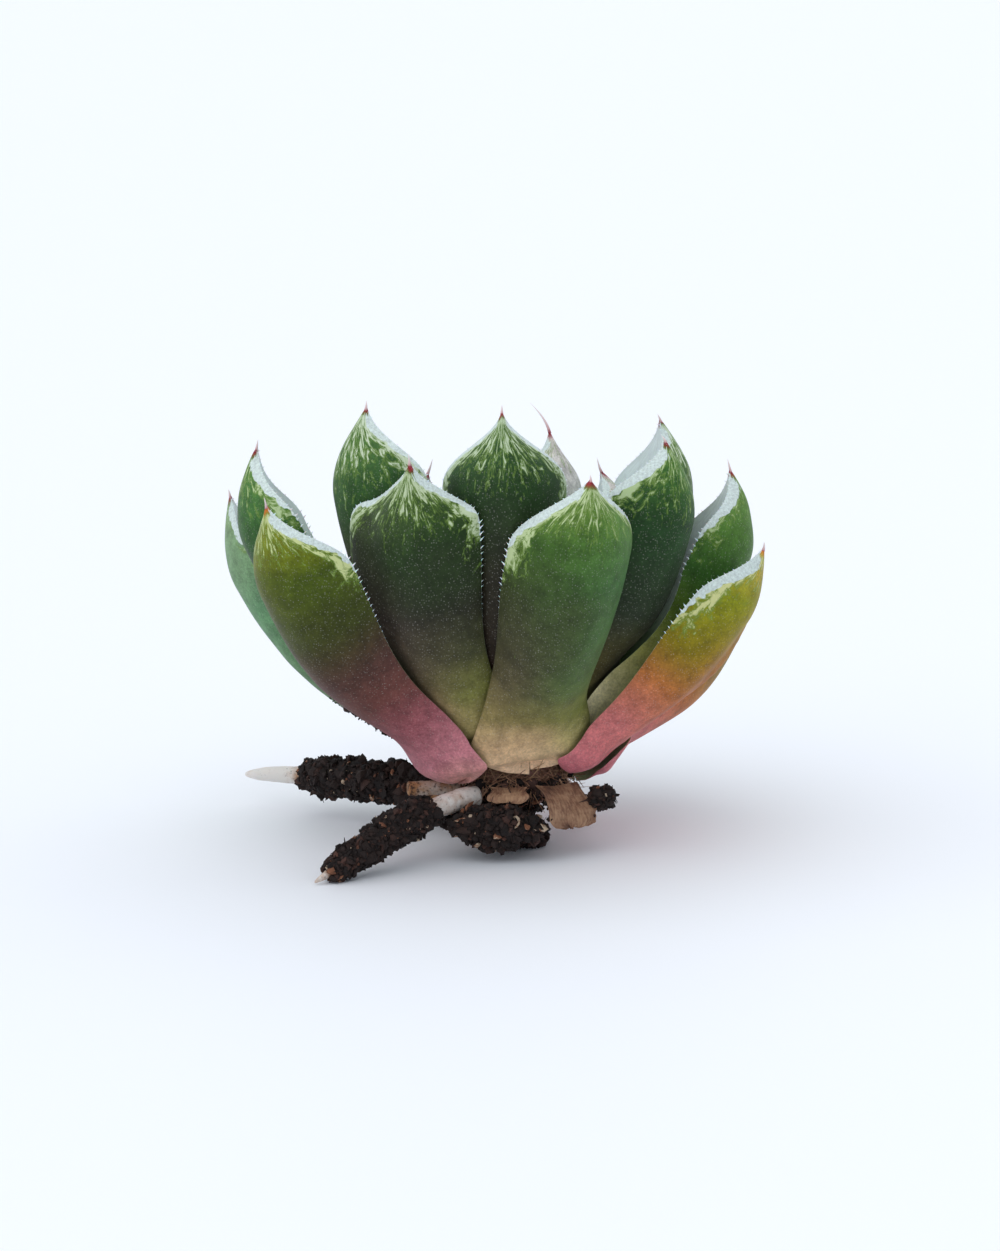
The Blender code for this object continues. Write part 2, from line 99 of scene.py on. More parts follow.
def add(tree, kind, settings=None, **inputs):
    """Adds one node. Settings go on the node; inputs are numbers, colours or other nodes' sockets.

    An input goes by its name, or by an underscore and its number where several share a name.
    """
    node = tree.nodes.new(kind)
    for key, value in (settings or {}).items():
        setattr(node, key, value)
    for key, value in inputs.items():
        socket = node.inputs[int(key[1:])] if key[0] == "_" else node.inputs[key.replace("_", " ")]
        if isinstance(value, bpy.types.NodeSocket):
            tree.links.new(value, socket)
        else:
            socket.default_value = value
    return node


def new_material(name):
    """An empty node tree with a Principled shader joined to its output."""
    made = bpy.data.materials.new(name)
    made.use_nodes = True
    tree = made.node_tree
    return made, tree, tree.nodes["Principled BSDF"]


# %% Table, sky and lamps
bpy.context.scene.view_settings.view_transform = "Standard"
world = bpy.data.worlds.new("tent")
bpy.context.scene.world = world
world.use_nodes = True
world.node_tree.nodes["Background"].inputs["Color"].default_value = colour("#ebf3fe")
world.node_tree.nodes["Background"].inputs["Strength"].default_value = 0.66

FLOOR_HALF = 3.0
floor_mesh = bpy.data.meshes.new("table")
corners = np.array([(-1, -1, 0), (1, -1, 0), (1, 1, 0), (-1, 1, 0)]) * FLOOR_HALF
floor_mesh.from_pydata(corners.tolist(), [], [(0, 1, 2, 3)])
floor = bpy.data.objects.new("table", floor_mesh)
bpy.context.scene.collection.objects.link(floor)
paper, tree, shader = new_material("coated white card")
shader.inputs["Base Color"].default_value = colour("#f4f6fa")
shader.inputs["Roughness"].default_value = 0.6
shader.inputs["Specular IOR Level"].default_value = 0.2
floor_mesh.materials.append(paper)


def lamp(name, direction, softness, strength):
    """A far lamp with parallel light. direction is where it stands, softness how wide it looks."""
    light = bpy.data.lights.new(name, "SUN")
    light.angle = softness
    light.energy = strength
    made = bpy.data.objects.new(name, light)
    made.rotation_euler = Vector(direction).to_track_quat("Z", "Y").to_euler()
    bpy.context.scene.collection.objects.link(made)


lamp("window", (-0.5, -0.35, 1.0), 90 * DEGREE, 1.3)
lamp("back", (0.35, 0.8, 1.0), 80 * DEGREE, 0.6)
print("table, tent light and 2 lamps")

# %% [markdown]
# ## The shape of a leaf
#
# A leaf of this plant is a thick spoon. It could be sculpted from a subdivided cage, but twenty-five of
# them have to sit against each other, so one formula makes them all. A point of the skin has two
# coordinates: how far it is along the leaf, and where it is round the leaf's section. The midrib is a
# Bezier curve in the plane of the leaf, and the section is an arc with a bulging back.

# %% Driving sizes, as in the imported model
GAP = 0.50 * MM
STUB_RADIUS = 2.9 * MM
STUB_TOP = 6.5 * MM
STUB_FOOT_RADIUS = 2.4 * MM
STUB_SWAY = 0.32
ROSETTE_FOOT = Vector((2.6 * MM, 0.5 * MM, STUB_TOP + 2.1 * MM))
ROSETTE_LEAN_BACK = 9 * DEGREE
ROSETTE_LEAN_LEFT = 1.0 * DEGREE
STEM_RADIUS = 5.6 * MM
STEM_TOP = 9.5 * MM
STEM_SKIRT = 3.2 * MM
LEAF_THICKNESS = 4.7 * MM
LEAF_BASE_THICKNESS = 1.7 * MM
LEAF_FOOT = 0.9
LEAF_NECK = 0.8
LEAF_SHOULDER = 0.78
LEAF_BELLY = 0.74
LEAF_CAP = 0.045
MIDRIB_HANDLE = 0.42
AWN_RADIUS = 0.10 * MM
BASE_WRAP_RADIUS = 8.5 * MM
TIP_WRAP_RADIUS = 10.5 * MM

# Azimuths of the foot and the tip, reach and height of the tip in mm, width in mm, the midrib's slopes at
# its start and end in degrees, how drawn out the tip is, and the leaf's colouring.
Leaf = namedtuple("Leaf", "name base_turn tip_turn reach height width start end ogee look")

LEAVES = [
    Leaf("bud_leaf_1", 5, 5, 2.8, 27.0, 4.6, 86, 92, 2.2, "young"),
    Leaf("bud_leaf_2", 125, 125, 3.0, 28.0, 4.6, 86, 92, 2.2, "young"),
    Leaf("bud_leaf_3", 245, 245, 3.6, 28.5, 4.8, 86, 92, 2.2, "young"),
    Leaf("heart_leaf_1", 28, 30, 8.4, 37.7, 8.4, 70, 94, 2.6, "young"),
    Leaf("heart_leaf_2", 172, 173, 8.2, 32.0, 8.8, 70, 96, 2.2, "young"),
    Leaf("heart_leaf_3", 314, 319, 8.8, 32.5, 9.2, 70, 96, 2.2, "young"),
    Leaf("heart_leaf_4", 100, 98, 10.0, 33.0, 10.0, 68, 96, 2.2, "young"),
    Leaf("heart_leaf_5", 244, 241, 10.6, 33.0, 9.6, 68, 96, 2.2, "young"),
    Leaf("inner_leaf_1", 356, 357, 16.8, 40.0, 14.8, 56, 86, 2.5, "noon"),
    Leaf("inner_leaf_2", 120, 107, 17.5, 38.6, 14.0, 56, 88, 2.4, "snow"),
    Leaf("inner_leaf_3", 232, 238, 17.0, 35.0, 14.0, 56, 86, 2.2, "meadow"),
    Leaf("inner_leaf_4", 64, 57, 20.0, 36.5, 14.4, 56, 78, 2.2, "shade"),
    Leaf("inner_leaf_5", 300, 302, 18.4, 40.6, 15.0, 56, 86, 2.2, "snow"),
    Leaf("inner_leaf_6", 176, 178, 17.5, 33.0, 14.0, 56, 86, 2.2, "meadow"),
    Leaf("middle_leaf_1", 317, 332, 23.0, 34.7, 15.0, 52, 68, 2.1, "dusk"),
    Leaf("middle_leaf_2", 84, 97, 24.6, 32.9, 15.0, 56, 82, 2.4, "cream"),
    Leaf("middle_leaf_3", 205, 207, 25.5, 30.0, 15.0, 46, 76, 2.2, "dusk"),
    Leaf("middle_leaf_4", 13, 21, 23.6, 32.6, 15.4, 50, 76, 1.7, "meadow"),
    Leaf("middle_leaf_5", 276, 269, 28.2, 36.4, 15.0, 58, 84, 2.4, "shade"),
    Leaf("middle_leaf_6", 146, 149, 26.0, 29.0, 14.6, 46, 76, 2.2, "meadow"),
    Leaf("outer_leaf_1", 297, 307, 32.9, 30.4, 16.6, 36, 66, 2.0, "sunset"),
    Leaf("outer_leaf_2", 68, 76, 28.5, 24.4, 12.4, 40, 50, 2.0, "amber"),
    Leaf("outer_leaf_3", 178, 179, 30.2, 23.0, 14.6, 28, 68, 2.2, "sunset"),
    Leaf("outer_leaf_4", 238, 253, 33.4, 30.9, 13.4, 30, 72, 2.4, "misty"),
    Leaf("outer_leaf_5", 116, 124, 30.5, 24.0, 15.0, 28, 68, 2.2, "amber"),
]
DRY_LEAVES = [
    Leaf("dry_leaf", 38, 38, 9.8, -6.4, 6.8, -30, -84, 0.5, "dry"),
    Leaf("dry_scale", 353, 354, 8.4, -3.3, 4.6, -40, -80, 0.6, "dry"),
]

Circle = namedtuple("Circle", "base_radius base_height fullness")
CIRCLES = {
    "bud": Circle(1.2, 10.6, 0.50),
    "heart": Circle(3.5, 8.4, 0.72),
    "inner": Circle(5.0, 5.6, 1.0),
    "middle": Circle(6.2, 1.6, 0.95),
    "outer": Circle(6.8, 0.1, 0.80),
    "dry": Circle(6.6, -1.7, 0.18),
}
STEM_OUTLINE = [
    (0.0, STEM_TOP),
    (0.16, STEM_TOP - 0.3 * MM),
    (0.42, 0.74 * STEM_TOP),
    (0.72, 0.42 * STEM_TOP),
    (0.92, 0.12 * STEM_TOP),
    (1.0, -0.2 * STEM_SKIRT),
    (0.93, -0.62 * STEM_SKIRT),
]
slant = Euler((-ROSETTE_LEAN_BACK, -ROSETTE_LEAN_LEFT, 0)).to_matrix()
SLANT = np.array(slant)
print(len(LEAVES), "leaves and", len(DRY_LEAVES), "withered ones")


# %% The leaf formula
def blend(low, high, value):
    """0 below low, 1 above high, and a smooth S between them."""
    share = np.clip((value - low) / (high - low), 0, 1)
    return share * share * (3 - 2 * share)


def leaf_outline(along, ogee):
    """Half-width as a share of the widest: a broad foot, a belly, then an ogee down to the awn."""
    body = (
        LEAF_FOOT
        + (LEAF_NECK - LEAF_FOOT) * blend(0, 0.22, along)
        + (1 - LEAF_NECK) * blend(0.25, LEAF_BELLY, along)
    )
    cap = np.sqrt(1 - (1 - np.clip(along / LEAF_CAP, 0, 1)) ** 2)
    to_tip = np.clip((along - LEAF_SHOULDER) / (1 - LEAF_SHOULDER), 0, 1)
    return body * cap * (1 - to_tip**2.4) ** ogee + 0.42 * (1 - to_tip) * to_tip**3


def leaf_depth(along):
    """Thickness at the midrib as a share of the most: thin at the foot, full at the belly, fading out."""
    cap = np.sqrt(1 - (1 - np.clip(along / LEAF_CAP, 0, 1)) ** 2)
    to_tip = np.clip((along - LEAF_SHOULDER) / (1 - LEAF_SHOULDER), 0, 1)
    base = LEAF_BASE_THICKNESS / LEAF_THICKNESS
    return cap * (base + (1 - base) * blend(0.05, 0.55, along)) * (1 - to_tip**1.8) ** 0.9


def midrib(leaf, circle, along):
    """Radius, height and heading of the midrib: a cubic Bezier from the stem to the tip."""
    start = np.array([circle.base_radius, circle.base_height]) * MM
    end = np.array([leaf.reach, leaf.height]) * MM
    handle = MIDRIB_HANDLE * np.linalg.norm(end - start)
    rise, fall = leaf.start * DEGREE, leaf.end * DEGREE
    first = start + handle * np.array([math.cos(rise), math.sin(rise)])
    second = end - handle * np.array([math.cos(fall), math.sin(fall)])
    t = along[..., None]
    place = (1 - t) ** 3 * start + 3 * (1 - t) ** 2 * t * first + 3 * (1 - t) * t**2 * second + t**3 * end
    slope = (
        3 * (1 - t) ** 2 * (first - start) + 6 * (1 - t) * t * (second - first) + 3 * t**2 * (end - second)
    )
    return place, slope / np.linalg.norm(slope, axis=-1, keepdims=True)


def clear_of_stem(points):
    """Points inside the stem are moved straight out from its axis until they clear its skin."""
    outline = np.array(STEM_OUTLINE[:0:-1])
    skin = STEM_RADIUS * np.interp(points[..., 2], outline[:, 1], outline[:, 0]) + GAP
    middle, reach = (STEM_TOP - STEM_SKIRT) / 2, (STEM_TOP + STEM_SKIRT) / 2 + GAP
    skin = np.where(np.abs(points[..., 2] - middle) < reach, skin, 0)
    radius = np.maximum(np.hypot(points[..., 0], points[..., 1]), 1e-6)
    share = np.maximum(1, skin / radius)
    return np.stack([points[..., 0] * share, points[..., 1] * share, points[..., 2]], axis=-1)


def half_width(leaf, along):
    """Half the leaf's width in metres."""
    return np.maximum(leaf.width / 2 * MM * leaf_outline(along, leaf.ogee), AWN_RADIUS * (1 - along**20))


def leaf_points(leaf, along, across, side):
    """Skin points in the rosette's frame. across runs from -1 to 1, side is 0 inside and 1 on the back."""
    circle = CIRCLES[leaf.name.split("_")[0]]
    place, heading = midrib(leaf, circle, along)
    depth = np.maximum(
        LEAF_THICKNESS * circle.fullness * leaf_depth(along), 2 * AWN_RADIUS * (1 - along**20)
    )
    wrap = BASE_WRAP_RADIUS + (TIP_WRAP_RADIUS - BASE_WRAP_RADIUS) * along
    angle = half_width(leaf, along) * across / wrap
    sideways = wrap * np.sin(angle)
    out = side * depth * (1 - np.abs(across) ** 2.3) ** 0.72 - wrap * (1 - np.cos(angle))
    radius = place[..., 0] + out * heading[..., 1]
    height = place[..., 1] - out * heading[..., 0]
    turn = (leaf.base_turn + (leaf.tip_turn - leaf.base_turn) * along) * DEGREE
    points = np.stack(
        [
            radius * np.sin(turn) + sideways * np.cos(turn),
            -radius * np.cos(turn) + sideways * np.sin(turn),
            height,
        ],
        axis=-1,
    )
    return clear_of_stem(points)


def placed(points):
    """From the rosette's own frame to the object's: tilted, then moved to the rosette's foot."""
    return points @ SLANT.T + np.array(ROSETTE_FOOT)


# %% [markdown]
# ## Keeping twenty-five leaves apart
#
# Leaves that grow against each other press flat where they touch. A physics run could find that shape, but
# it would be slow and hard to repeat. Seen from the heart of the rosette, each leaf lies outside the ones
# before it, so a map of "how far out the plant reaches in each direction" is enough: a new leaf is laid
# over the map and moved out wherever it would sink in.


# %% The reach map
class Reach:
    """How far the plant reaches so far, in every direction from its heart: a map by turn and tilt.

    Each new leaf is laid over the map, and moved out wherever it would press into what is there.
    """

    HEART = np.array([0, 0, 22.0]) * MM
    CELL = 1.5 * DEGREE
    SAMPLES = 161, 81  # points along and across a leaf when it's drawn on the map

    def __init__(self):
        self.rows = round(math.pi / self.CELL) + 1
        self.columns = round(TURN / self.CELL)
        self.far = np.zeros((self.rows, self.columns))

    def polar(self, points):
        """(map row, map column, distance, direction) of each point, seen from the heart."""
        offset = points - self.HEART
        distance = np.linalg.norm(offset, axis=-1)
        direction = offset / distance[..., None]
        row = np.arccos(np.clip(direction[..., 2], -1, 1)) / self.CELL
        column = (np.arctan2(direction[..., 1], direction[..., 0]) % TURN) / self.CELL
        return row, column, distance, direction

    def add(self, points):
        row, column, distance, _ = self.polar(points)
        for down in (0, 1):
            for right in (0, 1):
                cell = (
                    np.minimum(np.floor(row).astype(int) + down, self.rows - 1).ravel(),
                    (np.floor(column).astype(int) + right).ravel() % self.columns,
                )
                np.maximum.at(self.far, cell, distance.ravel())

    def needed(self, points):
        """How far each point has to move out to stay clear."""
        row, column, distance, _ = self.polar(points)
        low_row, low_column = np.floor(row).astype(int), np.floor(column).astype(int)
        row_share, column_share = row - low_row, column - low_column
        far = 0
        for down in (0, 1):
            for right in (0, 1):
                weight = (row_share if down else 1 - row_share) * (
                    column_share if right else 1 - column_share
                )
                cell = np.minimum(low_row + down, self.rows - 1), (low_column + right) % self.columns
                far = far + weight * self.far[cell]
        return np.where(far > 0, np.maximum(0, far + GAP - distance), 0)


def eased(push):
    """The push, spread smoothly to its neighbours so that the leaf bends and doesn't crease."""
    spread = push
    for _ in range(40):
        padded = np.pad(spread, 1, mode="edge")
        mean = (padded[2:, 1:-1] + padded[:-2, 1:-1] + padded[1:-1, 2:] + padded[1:-1, :-2]) / 4
        spread = np.maximum(push, mean)
    return spread


def settled_pushes(reach):
    """For each leaf, how far each point of its sampled grid moves out, leaf by leaf from the heart."""
    along, across = np.meshgrid(
        np.linspace(0, 1, Reach.SAMPLES[0]), np.linspace(-1, 1, Reach.SAMPLES[1]), indexing="ij"
    )
    pushes = {}
    for leaf in LEAVES + DRY_LEAVES:
        faces = [leaf_points(leaf, along, across, side) for side in (0, 1)]
        push = eased(np.maximum(reach.needed(faces[0]), reach.needed(faces[1])))
        pushes[leaf.name] = push
        for face in faces:
            reach.add(face + push[..., None] * reach.polar(face)[3])
    return pushes


def read_grid(grid, along, across):
    """The sampled grid's value at any place on the leaf."""
    row = along * (grid.shape[0] - 1)
    column = (across + 1) / 2 * (grid.shape[1] - 1)
    r0 = np.minimum(np.floor(row).astype(int), grid.shape[0] - 2)
    c0 = np.minimum(np.floor(column).astype(int), grid.shape[1] - 2)
    dr, dc = row - r0, column - c0
    return (
        grid[r0, c0] * (1 - dr) * (1 - dc)
        + grid[r0 + 1, c0] * dr * (1 - dc)
        + grid[r0, c0 + 1] * (1 - dr) * dc
        + grid[r0 + 1, c0 + 1] * dr * dc
    )


# %% Settle the leaves
reach = Reach()
pushes = settled_pushes(reach)
print("largest push:", round(max(push.max() for push in pushes.values()) / MM, 2), "mm")

# %% [markdown]
# ## From a formula to a mesh
#
# Every new surface is a grid of points that closes on itself, with one more point at each end. Such a skin
# could be lofted from curves, but arrays hand the mesh its points, faces and per-point values in one go.
# Soft random values come from a small lattice of random numbers, blended smoothly, so they can shape the
# surface as well as colour it.


# %% Mesh helpers
LATTICE = 32  # random numbers along each side of the block that soft noise is read from


def clouds(points, size, seed):
    """Smooth random values from -1 to 1 that change over about size: a lattice of numbers, S-blended."""
    lattice = np.random.default_rng(seed).uniform(-1, 1, (LATTICE, LATTICE, LATTICE))
    place = points / size
    low = np.floor(place).astype(int)
    share = place - low
    share = share * share * (3 - 2 * share)
    total = 0
    for corner in np.ndindex(2, 2, 2):
        weight = np.prod(np.where(corner, share, 1 - share), axis=-1)
        cell = (low + corner) % LATTICE
        total = total + weight * lattice[cell[..., 0], cell[..., 1], cell[..., 2]]
    return total


def capped_faces(rows, columns):
    """Quads between the rows of a closed grid and fans to two end points, numbered after the grid."""
    row, column = np.meshgrid(np.arange(rows - 1), np.arange(columns), indexing="ij")
    row, column = row.ravel(), column.ravel()
    after = (column + 1) % columns
    start, below = row * columns, (row + 1) * columns
    quads = np.stack([start + column, start + after, below + after, below + column], axis=1)
    around = np.arange(columns)
    turn = (around + 1) % columns
    first, last = rows * columns, rows * columns + 1
    fan = np.stack([np.full(columns, first), turn, around], axis=1)
    end = (rows - 1) * columns
    other = np.stack([np.full(columns, last), end + around, end + turn], axis=1)
    return quads, np.concatenate([fan, other])


def ring_faces(rows, columns):
    """Quads of a grid that closes both ways, as on a tyre."""
    row, column = np.meshgrid(np.arange(rows), np.arange(columns), indexing="ij")
    row, column = row.ravel(), column.ravel()
    down, after = (row + 1) % rows, (column + 1) % columns
    quads = np.stack(
        [row * columns + column, row * columns + after, down * columns + after, down * columns + column],
        axis=1,
    )
    return quads, np.zeros((0, 3), int)


def capped(grid):
    """The grid's values as one list, then the mean of its first row and of its last row."""
    flat = grid.reshape(-1, *grid.shape[2:])
    return np.concatenate([flat, grid[:1].mean(axis=1), grid[-1:].mean(axis=1)])


def volume(points, quads, triangles):
    """The volume inside a closed skin: positive where its faces point outwards."""
    fans = np.concatenate([triangles, quads[:, [0, 1, 2]], quads[:, [0, 2, 3]]])
    a, b, c = (points[fans[:, k]] - points.mean(axis=0) for k in range(3))
    return np.einsum("ij,ij->i", a, np.cross(b, c)).sum() / 6


def make_piece(name, points, faces, finish, values=None, smooth=True):
    """A mesh object with its faces turned outwards. values are numbers or colours held at each point."""
    quads, triangles = faces
    if volume(points, quads, triangles) < 0:
        quads, triangles = quads[:, ::-1], triangles[:, ::-1]
    mesh = bpy.data.meshes.new(name)
    mesh.vertices.add(len(points))
    mesh.vertices.foreach_set("co", points.astype(np.float32).ravel())
    mesh.loops.add(quads.size + triangles.size)
    face_corners = np.concatenate([quads.ravel(), triangles.ravel()])
    mesh.loops.foreach_set("vertex_index", face_corners.astype(np.int32))
    mesh.polygons.add(len(quads) + len(triangles))
    sizes = np.concatenate([np.full(len(quads), 4), np.full(len(triangles), 3)])
    mesh.polygons.foreach_set("loop_start", (np.cumsum(sizes) - sizes).astype(np.int32))
    mesh.update(calc_edges=True)
    mesh.polygons.foreach_set("use_smooth", np.full(len(sizes), smooth))
    for key, value in (values or {}).items():
        kind = {1: "FLOAT", 3: "FLOAT_VECTOR", 4: "FLOAT_COLOR"}[1 if value.ndim == 1 else value.shape[1]]
        attribute = mesh.attributes.new(key, kind, "POINT")
        field = {"FLOAT": "value", "FLOAT_VECTOR": "vector", "FLOAT_COLOR": "color"}[kind]
        attribute.data.foreach_set(field, value.astype(np.float32).ravel())
    mesh.materials.append(finish)
    mesh.validate()
    made = bpy.data.objects.new(name, mesh)
    bpy.context.scene.collection.objects.link(made)
    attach(made, "root")
    return made


def grid_normals(points):
    """Unit directions square to a closed grid's surface, from the differences along it and round it."""
    along = np.gradient(points, axis=0)
    around = np.roll(points, -1, axis=1) - np.roll(points, 1, axis=1)
    normal = np.cross(along, around)
    normal /= np.maximum(np.linalg.norm(normal, axis=-1, keepdims=True), 1e-12)
    outwards = points - points.mean(axis=1, keepdims=True)
    return normal * np.sign((normal * outwards).sum(axis=-1).mean())


def stops(table, share):
    """Colours between the stops of a table of (share, hex code), worked out in linear light."""
    places = [row[0] for row in table]
    colours = np.array([colour(row[1]) for row in table])
    return np.stack([np.interp(share, places, colours[:, k]) for k in range(4)], axis=-1)


# %% [markdown]
# ## Leaf skin
#
# The real skin is a waxy, slightly velvety hide over watery tissue. Near the tip it has windows: pale
# streaks without chlorophyll that run to the point, between dark green ones. A thin flange without any
# green follows the upper edge. The inner face is frosted, and its colour carries painted light from above.
# Lower down the sun has bred brown and red pigments. A painted texture would be the usual way; here the
# slow changes of colour are computed for each point of the mesh, and the shader adds streaks, pores, and
# pale papillae with painted glints, at their real size in millimetres.

# %% Leaf colourings
# left and right: the back's colours from base to tip. fleck: the pale streaks. window: how far down from the
# tip they reach, in mm, and how strong they are. rim: width of the flange in mm. dust: how much dry bloom.
# point: colour of the tip. Every leaf has the same inner face: pale frost, made lighter still with painted
# light from above.
Look = namedtuple("Look", "left right fleck window rim dust point")

CRIMSON, ORANGE = "#8c2030", "#cf6a34"
# The inner face's own pale frost, brightened further with painted light from above.
FROST_AND_PAINTED_LIGHT = [(0, "#8f9a74"), (0.35, "#84a070"), (0.6, "#b2c6b6"), (0.8, "#ccdad8"), (1, "#dfe8e8")]
LOOKS = {
    "snow": Look(
        [(0, "#8a6a50"), (0.3, "#3c3424"), (0.6, "#38371f"), (0.8, "#3d5a2e"), (1, "#4c7038")],
        [(0, "#8a6a50"), (0.3, "#3a3524"), (0.6, "#33421f"), (0.8, "#2f5426"), (1, "#4a7034")],
        "#ccd9bc", (14, 1.0), 1.2, 0.15, CRIMSON,
    ),
    "noon": Look(
        [(0, "#6a5040"), (0.3, "#2c2219"), (0.55, "#28261a"), (0.78, "#22391a"), (1, "#35582a")],
        [(0, "#6a5040"), (0.3, "#2c2219"), (0.55, "#282818"), (0.78, "#25401b"), (1, "#35582a")],
        "#c2d2b0", (12, 1.0), 1.2, 0.1, CRIMSON,
    ),
    "dusk": Look(
        [(0, "#c8a084"), (0.12, "#a88468"), (0.3, "#5c483a"), (0.55, "#413631"), (0.78, "#333a26"),
         (1, "#3f5a28")],
        [(0, "#c8a084"), (0.12, "#a08c5c"), (0.22, "#74743a"), (0.36, "#46482a"), (0.55, "#27291a"),
         (0.78, "#1f3612"), (1, "#3f5a28")],
        "#c2d0aa", (11, 0.98), 1.3, 0.12, CRIMSON,
    ),
    "meadow": Look(
        [(0, "#e2bf9a"), (0.08, "#c4a27a"), (0.17, "#857648"), (0.3, "#5c5438"), (0.42, "#46432c"),
         (0.66, "#37401f"), (0.84, "#3a5a20"), (1, "#5c7c30")],
        [(0, "#e2bf9a"), (0.08, "#b8a470"), (0.17, "#74783a"), (0.3, "#566a34"), (0.45, "#45602f"),
         (0.7, "#3f6a34"), (1, "#5f8438")],
        "#c0d09c", (10, 0.98), 1.5, 0.15, CRIMSON,
    ),
    "sunset": Look(
        [(0, "#d0968c"), (0.08, "#b4707a"), (0.2, "#8a4a52"), (0.34, "#643c38"), (0.48, "#54362e"),
         (0.62, "#3e3c12"), (0.82, "#525c08"), (1, "#8a8a14")],
        [(0, "#d0968c"), (0.08, "#b8747c"), (0.2, "#94545a"), (0.34, "#6a3e38"), (0.48, "#4c322a"),
         (0.62, "#363c10"), (0.82, "#46560c"), (1, "#888c18")],
        "#ccd496", (10, 0.95), 1.4, 0.3, ORANGE,
    ),
    "shade": Look(
        [(0, "#8a8a4c"), (0.2, "#5c5430"), (0.45, "#283420"), (0.75, "#1f3d1b"), (1, "#406a2c")],
        [(0, "#8a7a4c"), (0.2, "#5c5038"), (0.45, "#42443a"), (0.75, "#25491f"), (1, "#4a7a38")],
        "#b4c894", (13, 0.85), 1.5, 0.14, CRIMSON,
    ),
    "misty": Look(
        [(0, "#6c5040"), (0.2, "#5c5c3c"), (0.4, "#5c7a4c"), (0.7, "#6c9078"), (1, "#8aa078")],
        [(0, "#6c5040"), (0.2, "#5c5c3c"), (0.4, "#54754a"), (0.7, "#5f8a60"), (1, "#8aa078")],
        "#b4c8a8", (7, 0.5), 1.0, 0.35, CRIMSON,
    ),
    "amber": Look(
        [(0, "#c06c78"), (0.22, "#c4706c"), (0.42, "#b26c38"), (0.62, "#80700f"), (0.85, "#848a14"),
         (1, "#d0b048")],
        [(0, "#b85c6c"), (0.22, "#bc6458"), (0.42, "#a65c2c"), (0.62, "#a0681e"), (0.85, "#a08012"),
         (1, "#d88a38")],
        "#d4d494", (8, 0.9), 1.5, 0.2, ORANGE,
    ),
    "cream": Look(
        [(0, "#ecdfb8"), (0.2, "#ddd0a0"), (0.34, "#a8a45c"), (0.48, "#5c7028"), (0.7, "#335a1e"),
         (1, "#5c8434")],
        [(0, "#ecdfb8"), (0.2, "#d4c890"), (0.34, "#98984c"), (0.48, "#586c28"), (0.7, "#3a6424"),
         (1, "#5c8434")],
        "#b0c48c", (10, 0.7), 1.5, 0.2, CRIMSON,
    ),
    "young": Look(
        [(0, "#a8b488"), (0.4, "#8ea878"), (0.7, "#b9c0b0"), (1, "#cfc6c2")],
        [(0, "#a8b488"), (0.4, "#8ea878"), (0.7, "#bfc4ba"), (1, "#d2c6c4")],
        "#dfe0d8", (12, 0.6), 1.0, 0.1, CRIMSON,
    ),
}
print(len(LOOKS), "colourings")


